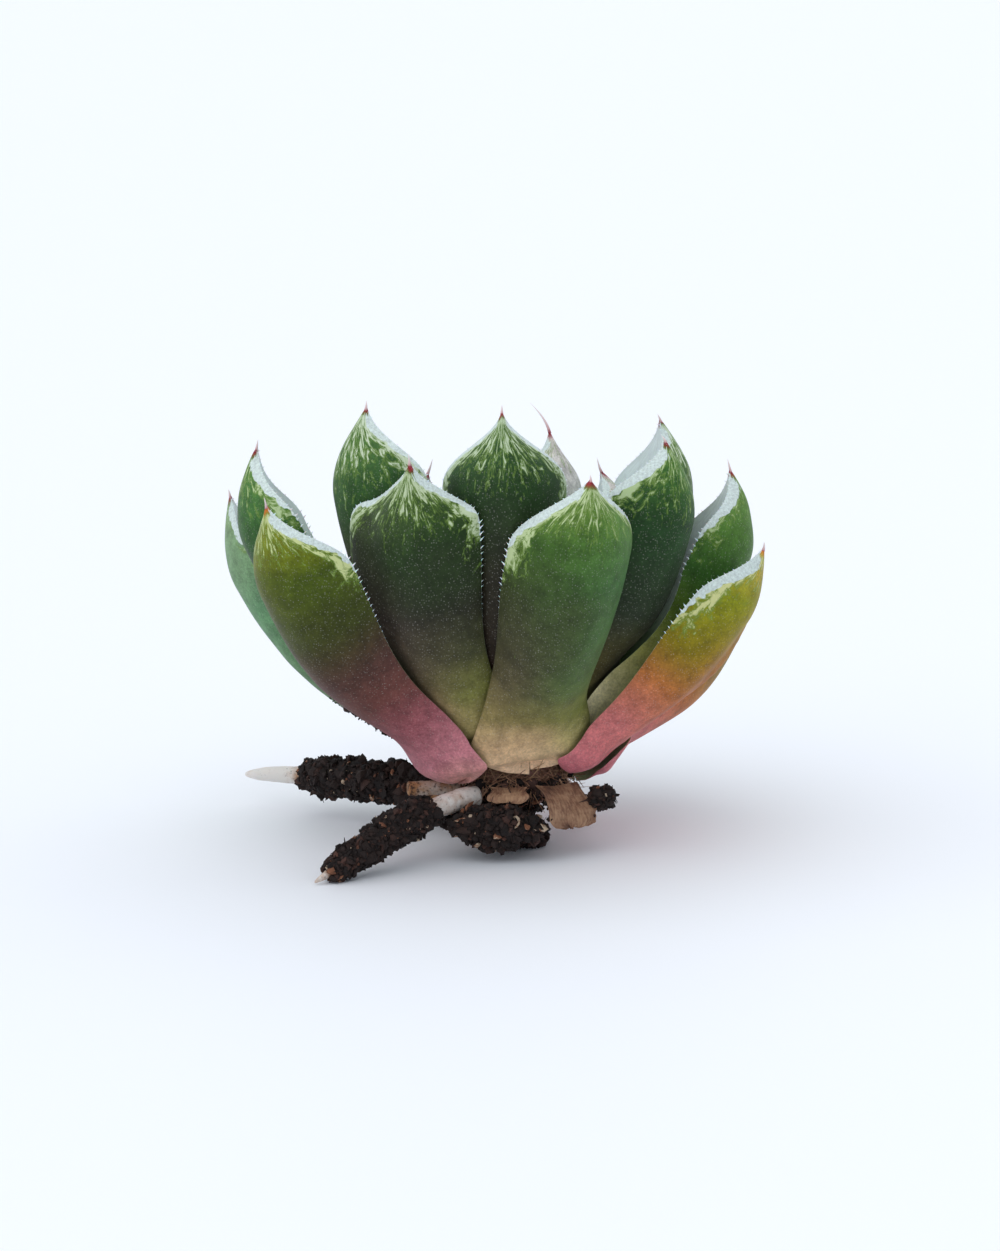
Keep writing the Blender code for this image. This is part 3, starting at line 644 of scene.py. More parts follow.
# %% Leaf material
def leaf_material():
    """Succulent epidermis: cutinised skin over watery tissue. Matt and finely grained, velvety at grazing
    angles, with a soft glow in thin parts."""
    made, tree, shader = new_material("succulent epidermis")
    read = {
        key: add(tree, "ShaderNodeAttribute", {"attribute_name": key})
        for key in ("grain", "tone", "fleck", "window", "rim", "inner", "dust")
    }
    grain = read["grain"].outputs["Vector"]
    place = add(tree, "ShaderNodeTexCoord").outputs["Object"]

    # Window streaks: marbling 0.6 mm wide and 1.8 mm long, bent and broken up by finer grain.
    streak_scale = (1 / (0.62 * MM), 1 / (1.8 * MM), 1 / MM)
    streak_place = add(tree, "ShaderNodeMapping", Vector=grain, Scale=streak_scale)
    streaks = add(
        tree, "ShaderNodeTexNoise", Vector=streak_place.outputs[0], Scale=1.0, Detail=5.0, Roughness=0.68,
        Distortion=0.8,
    )
    streak_level = add(
        tree, "ShaderNodeMath", {"operation": "ADD"}, _0=streaks.outputs["Fac"],
        _1=read["window"].outputs["Fac"]
    )
    streak_mask = add(
        tree, "ShaderNodeMapRange", {"interpolation_type": "SMOOTHSTEP"},
        Value=streak_level.outputs[0], From_Min=0.76, From_Max=0.87, To_Max=0.92,
    )
    halo_mask = add(
        tree, "ShaderNodeMapRange", {"interpolation_type": "SMOOTHSTEP"},
        Value=streak_level.outputs[0], From_Min=0.67, From_Max=0.79, To_Max=0.7,
    )
    # The flange's ragged inner border.
    jag_place = add(tree, "ShaderNodeMapping", Vector=grain, Scale=(1 / (0.6 * MM), 1 / (1.2 * MM), 1 / MM))
    jag = add(tree, "ShaderNodeTexNoise", Vector=jag_place.outputs[0], Scale=1.0, Detail=2.0)
    jag_step = add(
        tree, "ShaderNodeMath", {"operation": "MULTIPLY_ADD"}, _0=jag.outputs["Fac"], _1=1.5, _2=-0.75
    )
    rim_level = add(
        tree, "ShaderNodeMath", {"operation": "ADD"}, _0=jag_step.outputs[0], _1=read["rim"].outputs["Fac"]
    )
    rim_mask = add(
        tree, "ShaderNodeMapRange", {"interpolation_type": "SMOOTHSTEP"},
        Value=rim_level.outputs[0], From_Min=0.44, From_Max=0.56,
    )
    # Mottling of 1.6 mm in the green between the streaks, and the skin's own grain of 0.3 mm.
    mottle = add(tree, "ShaderNodeTexNoise", Vector=place, Scale=1 / (1.6 * MM), Detail=4.0, Roughness=0.6)
    pores = add(tree, "ShaderNodeTexNoise", Vector=place, Scale=1 / (0.28 * MM), Detail=2.0, Roughness=0.7)
    shade = add(
        tree, "ShaderNodeMapRange", Value=mottle.outputs["Fac"], From_Min=0.3, From_Max=0.7, To_Min=0.74,
        To_Max=1.26
    )
    grainy = add(
        tree, "ShaderNodeMapRange", Value=pores.outputs["Fac"], From_Min=0.3, From_Max=0.7, To_Min=0.8,
        To_Max=1.22
    )
    darkness = add(
        tree, "ShaderNodeMath", {"operation": "MULTIPLY"}, _0=shade.outputs[0], _1=grainy.outputs[0]
    )
    toned = add(
        tree, "ShaderNodeVectorMath", {"operation": "SCALE"},
        _0=read["tone"].outputs["Color"], Scale=darkness.outputs[0],
    )
    # The inner face, frosted and brightened with painted light from above, is evener, with faint lengthwise
    # veins 0.6 mm wide.
    vein = add(
        tree, "ShaderNodeMapRange", Value=streaks.outputs["Fac"], From_Min=0.3, From_Max=0.7, To_Min=0.84,
        To_Max=1.1
    )
    veined = add(
        tree, "ShaderNodeVectorMath", {"operation": "SCALE"}, _0=read["tone"].outputs["Color"],
        Scale=vein.outputs[0]
    )
    faces = add(
        tree, "ShaderNodeMix", {"data_type": "RGBA"}, _0=read["inner"].outputs["Fac"], _6=toned.outputs[0],
        _7=veined.outputs[0],
    )
    # Each pale streak lies in a halo of yellow-green.
    yellowed = add(
        tree, "ShaderNodeMix", {"data_type": "RGBA"}, _0=halo_mask.outputs[0], _6=faces.outputs[2],
        _7=colour("#6f8c3a"),
    )
    flecked = add(
        tree, "ShaderNodeMix", {"data_type": "RGBA"}, _0=streak_mask.outputs[0], _6=yellowed.outputs[2],
        _7=read["fleck"].outputs["Color"],
    )
    # The flange is frosted and granular.
    frosting = add(
        tree, "ShaderNodeMapRange", Value=pores.outputs["Fac"], From_Min=0.3, From_Max=0.7, To_Min=0.56,
        To_Max=0.84
    )
    flange = add(
        tree, "ShaderNodeVectorMath", {"operation": "SCALE"}, _0=(0.86, 0.98, 0.93),
        Scale=frosting.outputs[0]
    )
    rimmed = add(
        tree, "ShaderNodeMix", {"data_type": "RGBA"}, _0=rim_mask.outputs[0], _6=flecked.outputs[2],
        _7=flange.outputs[0],
    )
    # Dry bloom and lime dust, in patches of 3.5 mm.
    bloom = add(tree, "ShaderNodeTexNoise", Vector=place, Scale=1 / (3.5 * MM), Detail=5.0, Roughness=0.7)
    bloom_level = add(
        tree, "ShaderNodeMath", {"operation": "MULTIPLY"}, _0=bloom.outputs["Fac"],
        _1=read["dust"].outputs["Fac"]
    )
    bloom_mask = add(
        tree, "ShaderNodeMapRange", Value=bloom_level.outputs[0], From_Min=0.2, From_Max=0.55, To_Max=0.5
    )
    dusty = add(
        tree, "ShaderNodeMix", {"data_type": "RGBA"}, _0=bloom_mask.outputs[0], _6=rimmed.outputs[2],
        _7=colour("#a9a59c"),
    )
    # Pale papillae of 0.1 mm, a quarter of a millimetre apart, some bright and most faint: partly their own
    # pale colour and partly painted glints.
    papilla_cells = add(
        tree, "ShaderNodeTexVoronoi", {"feature": "F1"}, Vector=place, Scale=1 / (0.26 * MM), Randomness=1.0
    )
    papilla_dot = add(
        tree, "ShaderNodeMapRange", Value=papilla_cells.outputs["Distance"], From_Min=0.36, From_Max=0.12,
        To_Min=0.0, To_Max=0.22
    )
    own_share = add(tree, "ShaderNodeSeparateColor", Color=papilla_cells.outputs["Color"])
    papilla_glint_mask = add(
        tree, "ShaderNodeMath", {"operation": "MULTIPLY"}, _0=papilla_dot.outputs[0], _1=own_share.outputs[0]
    )
    # Painted glints and pale papillae mixed into the colour.
    papilla_glinted = add(
        tree, "ShaderNodeMix", {"data_type": "RGBA"}, _0=papilla_glint_mask.outputs[0], _6=dusty.outputs[2],
        _7=colour("#d8d6cc"),
    )
    tree.links.new(papilla_glinted.outputs[2], shader.inputs["Base Color"])
    roughness = add(
        tree, "ShaderNodeMapRange", Value=pores.outputs["Fac"], From_Min=0.3, From_Max=0.7, To_Min=0.42,
        To_Max=0.62
    )
    tree.links.new(roughness.outputs[0], shader.inputs["Roughness"])
    height = add(
        tree, "ShaderNodeMath", {"operation": "MULTIPLY_ADD"}, _0=papilla_glint_mask.outputs[0], _1=0.5,
        _2=pores.outputs["Fac"]
    )
    bump = add(tree, "ShaderNodeBump", Height=height.outputs[0], Strength=0.35, Distance=0.05 * MM)
    tree.links.new(bump.outputs[0], shader.inputs["Normal"])
    shader.inputs["IOR"].default_value = 1.42
    shader.inputs["Specular IOR Level"].default_value = 0.2
    shader.inputs["Sheen Weight"].default_value = 0.03
    shader.inputs["Sheen Roughness"].default_value = 0.5
    shader.inputs["Subsurface Weight"].default_value = 0.06
    shader.inputs["Subsurface Radius"].default_value = (1.0, 1.2, 0.5)
    shader.inputs["Subsurface Scale"].default_value = 1.2 * MM
    return made


epidermis = leaf_material()
print("leaf material with", len(epidermis.node_tree.nodes), "nodes")


# %% Build the leaves
LEAF_ROWS, LEAF_COLUMNS = 190, 88
MARGIN_STEPS = 600


def leaf_surface(leaf, along, across, side):
    """Leaf points after the pushes, in the object's frame."""
    points = leaf_points(leaf, along, across, side)
    moved = points + read_grid(pushes[leaf.name], along, across)[..., None] * reach.polar(points)[3]
    return placed(moved)


def skin_distances(points):
    """How far each point is over the skin from the leaf's edge, and along its middle from base and tip."""
    half = points.shape[1] // 2
    step = np.linalg.norm(np.roll(points, -1, axis=1) - points, axis=-1)
    edges = []
    for face in (step[:, :half], step[:, half:]):
        from_right = np.cumsum(face, axis=1) - face / 2
        edges.append(np.minimum(from_right, from_right[:, -1:] - from_right + face[:, -1:] / 2))
    middle = np.linalg.norm(np.diff(points[:, half // 2], axis=0), axis=1)
    from_base = np.concatenate([[0], np.cumsum(middle)])[:, None]
    return np.concatenate(edges, axis=1), from_base, from_base[-1:] - from_base


def leaf_values(leaf, points, along, across, side, look, seed):
    """What the shader needs to know at each point: the slow colours, and how near the tip and edge it is."""
    edge, from_base, to_tip = skin_distances(points)
    deep_in = side * 7 * MM + seed * 13 * MM
    grain = np.stack([across * leaf.width / 2 * MM, from_base + 0 * across, deep_in], axis=-1)
    drift = clouds(grain, 5 * MM, seed)
    swing = blend(-0.75, 0.75, across + 0.35 * drift)[..., None]
    share = np.clip(along + 0.035 * drift, 0, 1)
    back = stops(look.left, share) * (1 - swing) + stops(look.right, share) * swing
    # The inner face: pale frost colours, brightened with painted light from above.
    inside = stops(FROST_AND_PAINTED_LIGHT, share)
    tone = np.where(side[..., None] > 0.5, back, inside)
    flame = 1 - blend(0.5 * MM, 1.7 * MM, to_tip + 0.4 * MM * drift)
    tone = tone * (1 - flame[..., None]) + np.array(colour(look.point)) * flame[..., None]
    deep, strength = look.window
    upper = 1 - blend(4 * MM, 13 * MM, to_tip)
    tip_window = np.clip(1 - to_tip / (deep * MM), 0, 1) ** 0.7
    edge_reach = 1 - blend(9 * MM, 18 * MM, to_tip)
    edge_window = np.clip(1 - (edge - look.rim * MM) / (2.6 * MM), 0, 1) * edge_reach
    window = strength * np.maximum(tip_window, edge_window) * (1 - flame) * (side > 0.5)
    rim_width = look.rim * MM * upper * blend(0.5 * MM, 2.6 * MM, to_tip) - 0.1 * MM
    rim = np.clip(0.5 + (rim_width - edge) / (1.2 * MM), 0, 1) * blend(0, 0.08, upper) * (side > 0.5)
    dust = look.dust * (0.35 + 0.65 * blend(0.15, 0.5, along) * (1 - blend(0.6, 0.8, along)))
    dust = dust * (side > 0.5)
    fleck = np.broadcast_to(np.array(colour(look.fleck)), tone.shape)
    return {
        "grain": grain, "tone": tone, "fleck": fleck, "window": 0.37 * window, "rim": rim,
        "inner": 1.0 - side, "dust": dust,
    }


def make_leaf(leaf, seed):
    """One closed skin: rings from base to tip, each going round the back and then over the inner face."""
    step = np.linspace(0, 1, LEAF_ROWS)
    along = step - 0.5 * np.sin(TURN * step) / TURN
    turn = (np.arange(LEAF_COLUMNS) + 0.5) / LEAF_COLUMNS * TURN
    along, turn = np.meshgrid(along, turn, indexing="ij")
    across = np.cos(turn)
    side = (np.sin(turn) > 0).astype(float)
    points = leaf_surface(leaf, along, across, side)
    values = leaf_values(leaf, points, along, across, side, LOOKS[leaf.look], seed)
    fade = blend(0, 0.05, along) * blend(1, 0.93, along) * (1 - np.abs(across) ** 6)
    ribs = clouds(values["grain"] * (1, 0.12, 1), 1.1 * MM, 50)
    relief = 0.10 * MM * clouds(points, 3.2 * MM, seed + 100)
    relief = relief + 0.035 * MM * ribs * np.where(side > 0.5, 0.5, 1.3)
    points = points + (fade * relief)[..., None] * grid_normals(points)
    listed = {key: capped(value) for key, value in values.items()}
    faces = capped_faces(LEAF_ROWS, LEAF_COLUMNS)
    made = make_piece(leaf.name + "_skin", capped(points), faces, epidermis, listed)
    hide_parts(leaf.name)
    return made


leaf_skins = [make_leaf(leaf, number) for number, leaf in enumerate(LEAVES)]
print(len(leaf_skins), "leaf skins,", sum(len(skin.data.polygons) for skin in leaf_skins), "faces")

# %% [markdown]
# ## Teeth and bristles
#
# The edge of each leaf carries a row of small white teeth of cartilage, and its point runs out in a
# bristle. Hair particles would do for a cat, but these are stiff, few and evenly spaced, so each is one
# small cone. A tooth has only five faces, and all the teeth are placed in a single array.


# %% Teeth
TOOTH_SPACING = 0.72 * MM
TOOTH_FIRST, TOOTH_LAST = 0.26, 0.99  # shares of the leaf's length between which teeth grow
TOOTH_OUT, TOOTH_LEAN = 0.50, 0.22  # how far a full tooth's point stands out and leans tipwards, in mm
TOOTH_HALF_BREADTH, TOOTH_HALF_THICKNESS, TOOTH_DEPTH = 0.17, 0.11, 0.12  # of its foot, in mm


def make_teeth():
    """Four-sided spikes along both edges of each leaf, pointing off its middle and a little tipwards."""
    draw = np.random.default_rng(21)
    roots, outward, forward, thick = [], [], [], []
    for leaf in LEAVES:
        along = np.linspace(TOOTH_FIRST, TOOTH_LAST, MARGIN_STEPS)
        for edge in (-1.0, 1.0):
            rim = leaf_surface(leaf, along, np.full_like(along, edge), np.zeros_like(along))
            inside = leaf_surface(leaf, along, np.full_like(along, 0.9 * edge), np.full_like(along, 0.5))
            run = np.concatenate([[0], np.cumsum(np.linalg.norm(np.diff(rim, axis=0), axis=1))])
            count = int(run[-1] / TOOTH_SPACING)
            wanted = (np.arange(count) + draw.uniform(0.25, 0.75, count)) * run[-1] / count
            pick = np.searchsorted(run, wanted).clip(1, MARGIN_STEPS - 2)
            away = rim[pick] - inside[pick]
            away /= np.linalg.norm(away, axis=1, keepdims=True)
            tangent = rim[pick + 1] - rim[pick - 1]
            tangent /= np.linalg.norm(tangent, axis=1, keepdims=True)
            roots.append(rim[pick])
            outward.append(away)
            forward.append(tangent)
            fine = 1 - 0.45 * blend(0.72, 0.88, along[pick])
            thick.append(fine * blend(0.4, 0.8, along[pick]) * min(1, leaf.width / 12))
    roots, outward, forward = (np.concatenate(rows) for rows in (roots, outward, forward))
    growth = np.concatenate(thick) * draw.uniform(0.6, 1.1, len(roots))
    across = np.cross(outward, forward)
    size = growth[:, None]
    apex = roots + (TOOTH_OUT * outward + TOOTH_LEAN * forward) * size * MM
    base = roots - TOOTH_DEPTH * MM * outward
    corners = [
        base + TOOTH_HALF_BREADTH * MM * size * forward,
        base + TOOTH_HALF_THICKNESS * MM * size * across,
        base - TOOTH_HALF_BREADTH * MM * size * forward,
        base - TOOTH_HALF_THICKNESS * MM * size * across,
    ]
    points = np.stack([*corners, apex], axis=1).reshape(-1, 3)
    start = np.arange(len(roots))[:, None] * 5
    sides = [start + np.array([[a, (a + 1) % 4, 4]]) for a in range(4)]
    made = (start + np.array([[3, 2, 1, 0]]), np.concatenate(sides))
    return points, made


cartilage, tree, shader = new_material("leaf tooth cartilage")
shader.inputs["Base Color"].default_value = colour("#e9edee")
shader.inputs["Roughness"].default_value = 0.35
shader.inputs["Subsurface Weight"].default_value = 0.4
shader.inputs["Subsurface Scale"].default_value = 0.3 * MM
teeth_points, teeth_faces = make_teeth()
teeth = make_piece("leaf_teeth", teeth_points, teeth_faces, cartilage, smooth=False)
print(len(teeth_points) // 5, "teeth")


# %% Bristles
AWN_ROWS, AWN_SIDES = 8, 6
AWN_LENGTHS = 0.9, 1.5  # in mm, and the heart's tallest leaf has the one long bristle
LONG_AWN = 3.4
AWN_WIDEST, AWN_FINEST = 0.17, 0.02  # radii at the foot and at the point, in mm


def make_awns():
    """A thin cone on each leaf's point that carries its direction on and bends a little, as rings."""
    draw = np.random.default_rng(22)
    ends = np.array([0.93, 0.99, 1.0])
    lines = np.stack(
        [leaf_surface(leaf, ends, np.zeros(3), np.full(3, 0.5)) for leaf in LEAVES]
    )
    heading = lines[:, 2] - lines[:, 0]
    heading /= np.linalg.norm(heading, axis=1, keepdims=True)
    longest = [leaf.name == "heart_leaf_1" for leaf in LEAVES]
    length = np.where(longest, LONG_AWN, draw.uniform(*AWN_LENGTHS, len(LEAVES)))
    bend = draw.normal(0, 0.14, (len(LEAVES), 3)) + np.array([-0.10, 0, 0.05])
    step = np.linspace(0, 1, AWN_ROWS)
    middle = lines[:, None, 1] + (length[:, None] * MM * step)[..., None] * heading[:, None]
    middle = middle + (length[:, None] * MM * step**2)[..., None] * bend[:, None]
    right = np.cross(heading, (0.3, 0.8, 0.5))
    right /= np.linalg.norm(right, axis=1, keepdims=True)
    up = np.cross(heading, right)
    turn = np.arange(AWN_SIDES) / AWN_SIDES * TURN
    radius = (AWN_WIDEST * (1 - step) ** 0.8 + AWN_FINEST) * MM
    ring = np.cos(turn)[:, None] * right[:, None] + np.sin(turn)[:, None] * up[:, None]
    points = middle[:, :, None] + radius[None, :, None, None] * ring[:, None]
    return points, step


def many_capped(points):
    """Several capped grids of one size as one list of points and faces. points: (piece, row, column, 3)."""
    pieces, rows, columns, _ = points.shape
    quads, fans = capped_faces(rows, columns)
    shift = (np.arange(pieces) * (rows * columns + 2))[:, None, None]
    joined = np.concatenate([capped(piece) for piece in points])
    return joined, ((quads + shift).reshape(-1, 4), (fans + shift).reshape(-1, 3))


bristle, tree, shader = new_material("leaf bristle")
tip_share = add(tree, "ShaderNodeAttribute", {"attribute_name": "share"})
ramp = add(
    tree, "ShaderNodeMix", {"data_type": "RGBA"}, _0=tip_share.outputs["Fac"], _6=colour("#b0505a"),
    _7=colour("#efe6e2")
)
tree.links.new(ramp.outputs[2], shader.inputs["Base Color"])
shader.inputs["Roughness"].default_value = 0.4
awn_grid, awn_step = make_awns()
awn_points, awn_faces = many_capped(awn_grid)
awn_share = np.tile(capped(np.repeat(awn_step[:, None], AWN_SIDES, axis=1)), len(LEAVES))
awns = make_piece("leaf_bristles", awn_points, awn_faces, bristle, {"share": np.sqrt(awn_share)})
print(len(LEAVES), "bristles")

# %% [markdown]
# ## Stem and roots
#
# The stem is a short cone that the leaves sprout from, with the broken stub of last year's stem below it. The
# roots are thick storage roots, white and glassy where they are young and stained brown by the peat. A curve
# with a bevel would give smooth tubes; a formula gives the same tube with wrinkles and a swelling body.

# %% Root paths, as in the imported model
Root = namedtuple("Root", "name turn height path radii")
ROOTS = [
    Root("root_left", 247, 0.78, [(-9, 5.8, 0.83), (-20, 13, 0.75), (-28.7, 18, 0.54)], (1.4, 0.9)),
    Root("root_front", 321, 0.97, [(-6, -7.8, 1.14), (-13, -13, 0.52), (-19.3, -18.2, 0.05)], (1.45, 0.55)),
    Root("root_broken", 282, 1.02, [(-5.4, -1.6, 1.04), (-7.6, -1.8, 1.05), (-9.6, -2, 1.04)], (0.85, 0.85)),
    Root("root_back_left", 205, 0.83, [(-2.6, 8, 0.92), (-5.4, 12, 0.37), (-7.6, 15.6, 0.05)], (1.3, 0.7)),
    Root("root_back_right", 141, 0.78, [(8.4, 8.8, 0.86), (9.4, 10.4, 0.34), (10.6, 13.6, 0.05)], (1.3, 0.7)),
]
STUB = Root("stub", 0, 0, [], (1.41 * STUB_RADIUS / MM, 0.97 * STUB_RADIUS / MM))
NEARLY_UP = np.array([0.02, 0.01, 1.0])
STUB_OUTLINE = [
    (1.45, 0.80 * STUB_TOP),
    (1.18, 0.60 * STUB_TOP),
    (1.02, 0.40 * STUB_TOP),
    (0.97, 0.16 * STUB_TOP),
    (0.92, 0.05 * STUB_TOP),
    (STUB_FOOT_RADIUS / STUB_RADIUS, 0.0),
]


def stub_skin(height):
    """Radius of the stub, or of the stem's skirt above it, at a height over the table."""
    heights = [row[1] for row in STUB_OUTLINE[::-1]] + [ROSETTE_FOOT.z + STEM_OUTLINE[-1][1]]
    radii = [row[0] * STUB_RADIUS for row in STUB_OUTLINE[::-1]] + [STEM_OUTLINE[-1][0] * STEM_RADIUS]
    return np.interp(height, heights, radii)


def handles(root):
    """The four points that a root's curve is drawn from. The first lies just off the stem's skin."""
    height, turn = root.height * STUB_TOP, root.turn * DEGREE
    away = stub_skin(height + root.radii[0] * MM) + 1.5 * GAP
    start = (STUB_SWAY * height + away * math.sin(turn), -away * math.cos(turn), height)
    return np.array([start] + [(x * MM, y * MM, share * STUB_TOP) for x, y, share in root.path])


def root_frame(root, along):
    """Where the middle of a root is, and the two directions square to it. The stub is a straight root."""
    t = along[..., None]
    if root == STUB:
        top = np.array([STUB_SWAY, 0, 1]) * 0.78 * STUB_TOP
        middle, heading = (1 - t) * top, -top + 0 * t
    else:
        p0, p1, p2, p3 = handles(root)
        middle = (1 - t) ** 3 * p0 + 3 * t * (1 - t) ** 2 * p1 + 3 * t * t * (1 - t) * p2 + t**3 * p3
        heading = (1 - t) ** 2 * (p1 - p0) + 2 * t * (1 - t) * (p2 - p1) + t * t * (p3 - p2)
    heading = heading / np.linalg.norm(heading, axis=-1, keepdims=True)
    right = np.cross(heading, NEARLY_UP)
    right = right / np.linalg.norm(right, axis=-1, keepdims=True)
    return middle, right, np.cross(right, heading)


def root_radius(root, along):
    """The root's radius before it rounds off, straight from start to end."""
    return (root.radii[0] + (root.radii[1] - root.radii[0]) * along) * MM


def above_floor(points):
    """Pressed flat where it lies on the table."""
    return np.concatenate([points[..., :2], np.maximum(points[..., 2:], 0)], axis=-1)


# %% Root material
def root_material(name, clean, stained, dark):
    """Living root bark: wet-looking, pale and slightly see-through, with peat rubbed into its wrinkles."""
    made, tree, shader = new_material(name)
    place = add(tree, "ShaderNodeTexCoord").outputs["Object"]
    along = add(tree, "ShaderNodeAttribute", {"attribute_name": "stain"})
    patches = add(tree, "ShaderNodeTexNoise", Vector=place, Scale=1 / (1.3 * MM), Detail=5.0, Roughness=0.65)
    specks = add(tree, "ShaderNodeTexNoise", Vector=place, Scale=1 / (0.35 * MM), Detail=3.0, Roughness=0.6)
    level = add(
        tree, "ShaderNodeMath", {"operation": "MULTIPLY_ADD"}, _0=along.outputs["Fac"], _1=0.55,
        _2=patches.outputs["Fac"]
    )
    stain = add(tree, "ShaderNodeMapRange", Value=level.outputs[0], From_Min=0.5, From_Max=0.95)
    first = add(
        tree, "ShaderNodeMix", {"data_type": "RGBA"}, _0=stain.outputs[0], _6=colour(clean),
        _7=colour(stained)
    )
    dirt_level = add(
        tree, "ShaderNodeMath", {"operation": "MULTIPLY_ADD"}, _0=along.outputs["Fac"], _1=0.2,
        _2=specks.outputs["Fac"]
    )
    dirt = add(
        tree, "ShaderNodeMapRange", Value=dirt_level.outputs[0], From_Min=0.62, From_Max=0.78, To_Max=0.85
    )
    second = add(
        tree, "ShaderNodeMix", {"data_type": "RGBA"}, _0=dirt.outputs[0], _6=first.outputs[2], _7=colour(dark)
    )
    tree.links.new(second.outputs[2], shader.inputs["Base Color"])
    rough = add(
        tree, "ShaderNodeMapRange", Value=level.outputs[0], From_Min=0.4, From_Max=0.9, To_Min=0.3,
        To_Max=0.7
    )
    tree.links.new(rough.outputs[0], shader.inputs["Roughness"])
    bump = add(tree, "ShaderNodeBump", Height=specks.outputs["Fac"], Strength=0.5, Distance=0.08 * MM)
    tree.links.new(bump.outputs[0], shader.inputs["Normal"])
    shader.inputs["Subsurface Weight"].default_value = 0.15
    shader.inputs["Subsurface Radius"].default_value = (1.0, 0.7, 0.5)
    shader.inputs["Subsurface Scale"].default_value = 0.8 * MM
    return made


root_bark = root_material("young root bark", "#dcd6cf", "#a5764e", "#2c1b14")
stem_bark = root_material("corky stem bark", "#a0705e", "#6e4638", "#24140f")
print("bark materials with", len(root_bark.node_tree.nodes), "nodes each")


# %% Build the roots
ROOT_ROWS, ROOT_SIDES = 110, 36
STEM_ROWS, STEM_SIDES = 97, 96


def peat_stain(root, along):
    """How brown the peat has made the bark, from 0 to about 1: least at the young, growing tip."""
    if root.name == "root_left":
        return 0.9 - 1.1 * blend(0.70, 0.84, along)
    if root.name == "root_front":
        return 0.15 + 0.75 * blend(0.30, 0.42, along) * (1 - blend(0.88, 0.96, along))
    if root.name == "root_broken":
        return 0.5 + 0.4 * blend(0.7, 0.95, along)
    return 0.55 - 0.9 * blend(0.80, 0.95, along)


def make_root(root, seed):
    """Rings along the root's path, with shallow wrinkles across it and a swelling every few millimetres."""
    around = np.arange(ROOT_SIDES) / ROOT_SIDES * TURN
    step, turn = np.meshgrid(np.linspace(0, 1, ROOT_ROWS), around, indexing="ij")
    along = step - 0.4 * np.sin(TURN * step) / TURN
    middle, right, up = root_frame(root, along)
    cap = np.sqrt(1 - (1 - np.clip(along / 0.03, 0, 1)) ** 2)
    tip = np.sqrt(1 - np.clip((along - 0.8) / 0.2, 0, 1) ** 2.2)
    if root.name == "root_broken":  # snapped off, so its end is blunt
        tip = np.sqrt(1 - np.clip((along - 0.9) / 0.1, 0, 1) ** 6)
    spoke = np.cos(turn)[..., None] * right + np.sin(turn)[..., None] * up
    where = middle + root_radius(root, along)[..., None] * spoke
    wrinkles = clouds(np.stack([along * 24, turn * 0.7, 0 * turn + seed], -1), 1.0, seed + 7)
    swell = 1 + 0.07 * clouds(middle, 3.5 * MM, seed) + 0.05 * clouds(where, 0.9 * MM, seed + 1)
    swell = swell + 0.03 * wrinkles
    points = middle + (root_radius(root, along) * cap * tip * swell)[..., None] * spoke
    made = make_piece(
        root.name + "_bark", capped(above_floor(points)), capped_faces(*step.shape), root_bark,
        {"stain": capped(peat_stain(root, along))},
    )
    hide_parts(root.name)
    return made


def make_stem():
    """Rings down the rosette's leaning axis, then down the stub, its outline smoothed between the rings."""
    rosette_axis = slant.to_quaternion()
    rows = []
    for share, height in STEM_OUTLINE:
        rows.append((placed(np.array([0, 0, height])), rosette_axis, share * STEM_RADIUS))
    for share, height in STUB_OUTLINE:
        turned = Quaternion().slerp(rosette_axis, height / STUB_TOP)
        rows.append((np.array([STUB_SWAY * height, 0, height]), turned, share * STUB_RADIUS))
    last = len(rows) - 1
    fine = np.linspace(0, last, STEM_ROWS)
    turn = np.arange(STEM_SIDES) / STEM_SIDES * TURN
    flat = np.stack([np.cos(turn), np.sin(turn), 0 * turn], axis=-1)
    rings = np.stack([middle + radius * flat @ np.array(axis.to_matrix()).T for middle, axis, radius in rows])
    low = np.minimum(fine.astype(int), last - 1)
    share = (fine - low)[:, None, None]
    points = rings[low] * (1 - share) + rings[low + 1] * share
    grown = blend(0, 0.8, 1 - np.abs(fine / last * 2 - 1))[:, None, None]
    ridges = 0.12 * MM * grown * clouds(points * (1, 1, 0.3), 0.8 * MM, 31)[..., None]
    points = points + ridges * grid_normals(points)
    made = make_piece(
        "stem_bark", capped(above_floor(points)), capped_faces(*points.shape[:2]), stem_bark,
        {"stain": np.full(points.shape[0] * points.shape[1] + 2, 0.35)},
    )
    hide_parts("stem")


roots = [make_root(root, number) for number, root in enumerate(ROOTS)]
make_stem()
print("stem and", len(roots), "roots")

# %% [markdown]
# ## Peat
#
# The soil is dark peat with shreds of fibre and a few pale grains. It isn't a smooth sleeve: it is thousands
# of crumbs that stick to the root. A particle system could scatter them, but it would have to be realised
# before the model leaves Blender. Here a rough sleeve gives the dark body, and an array of small broken
# lumps and splinters is laid over it.

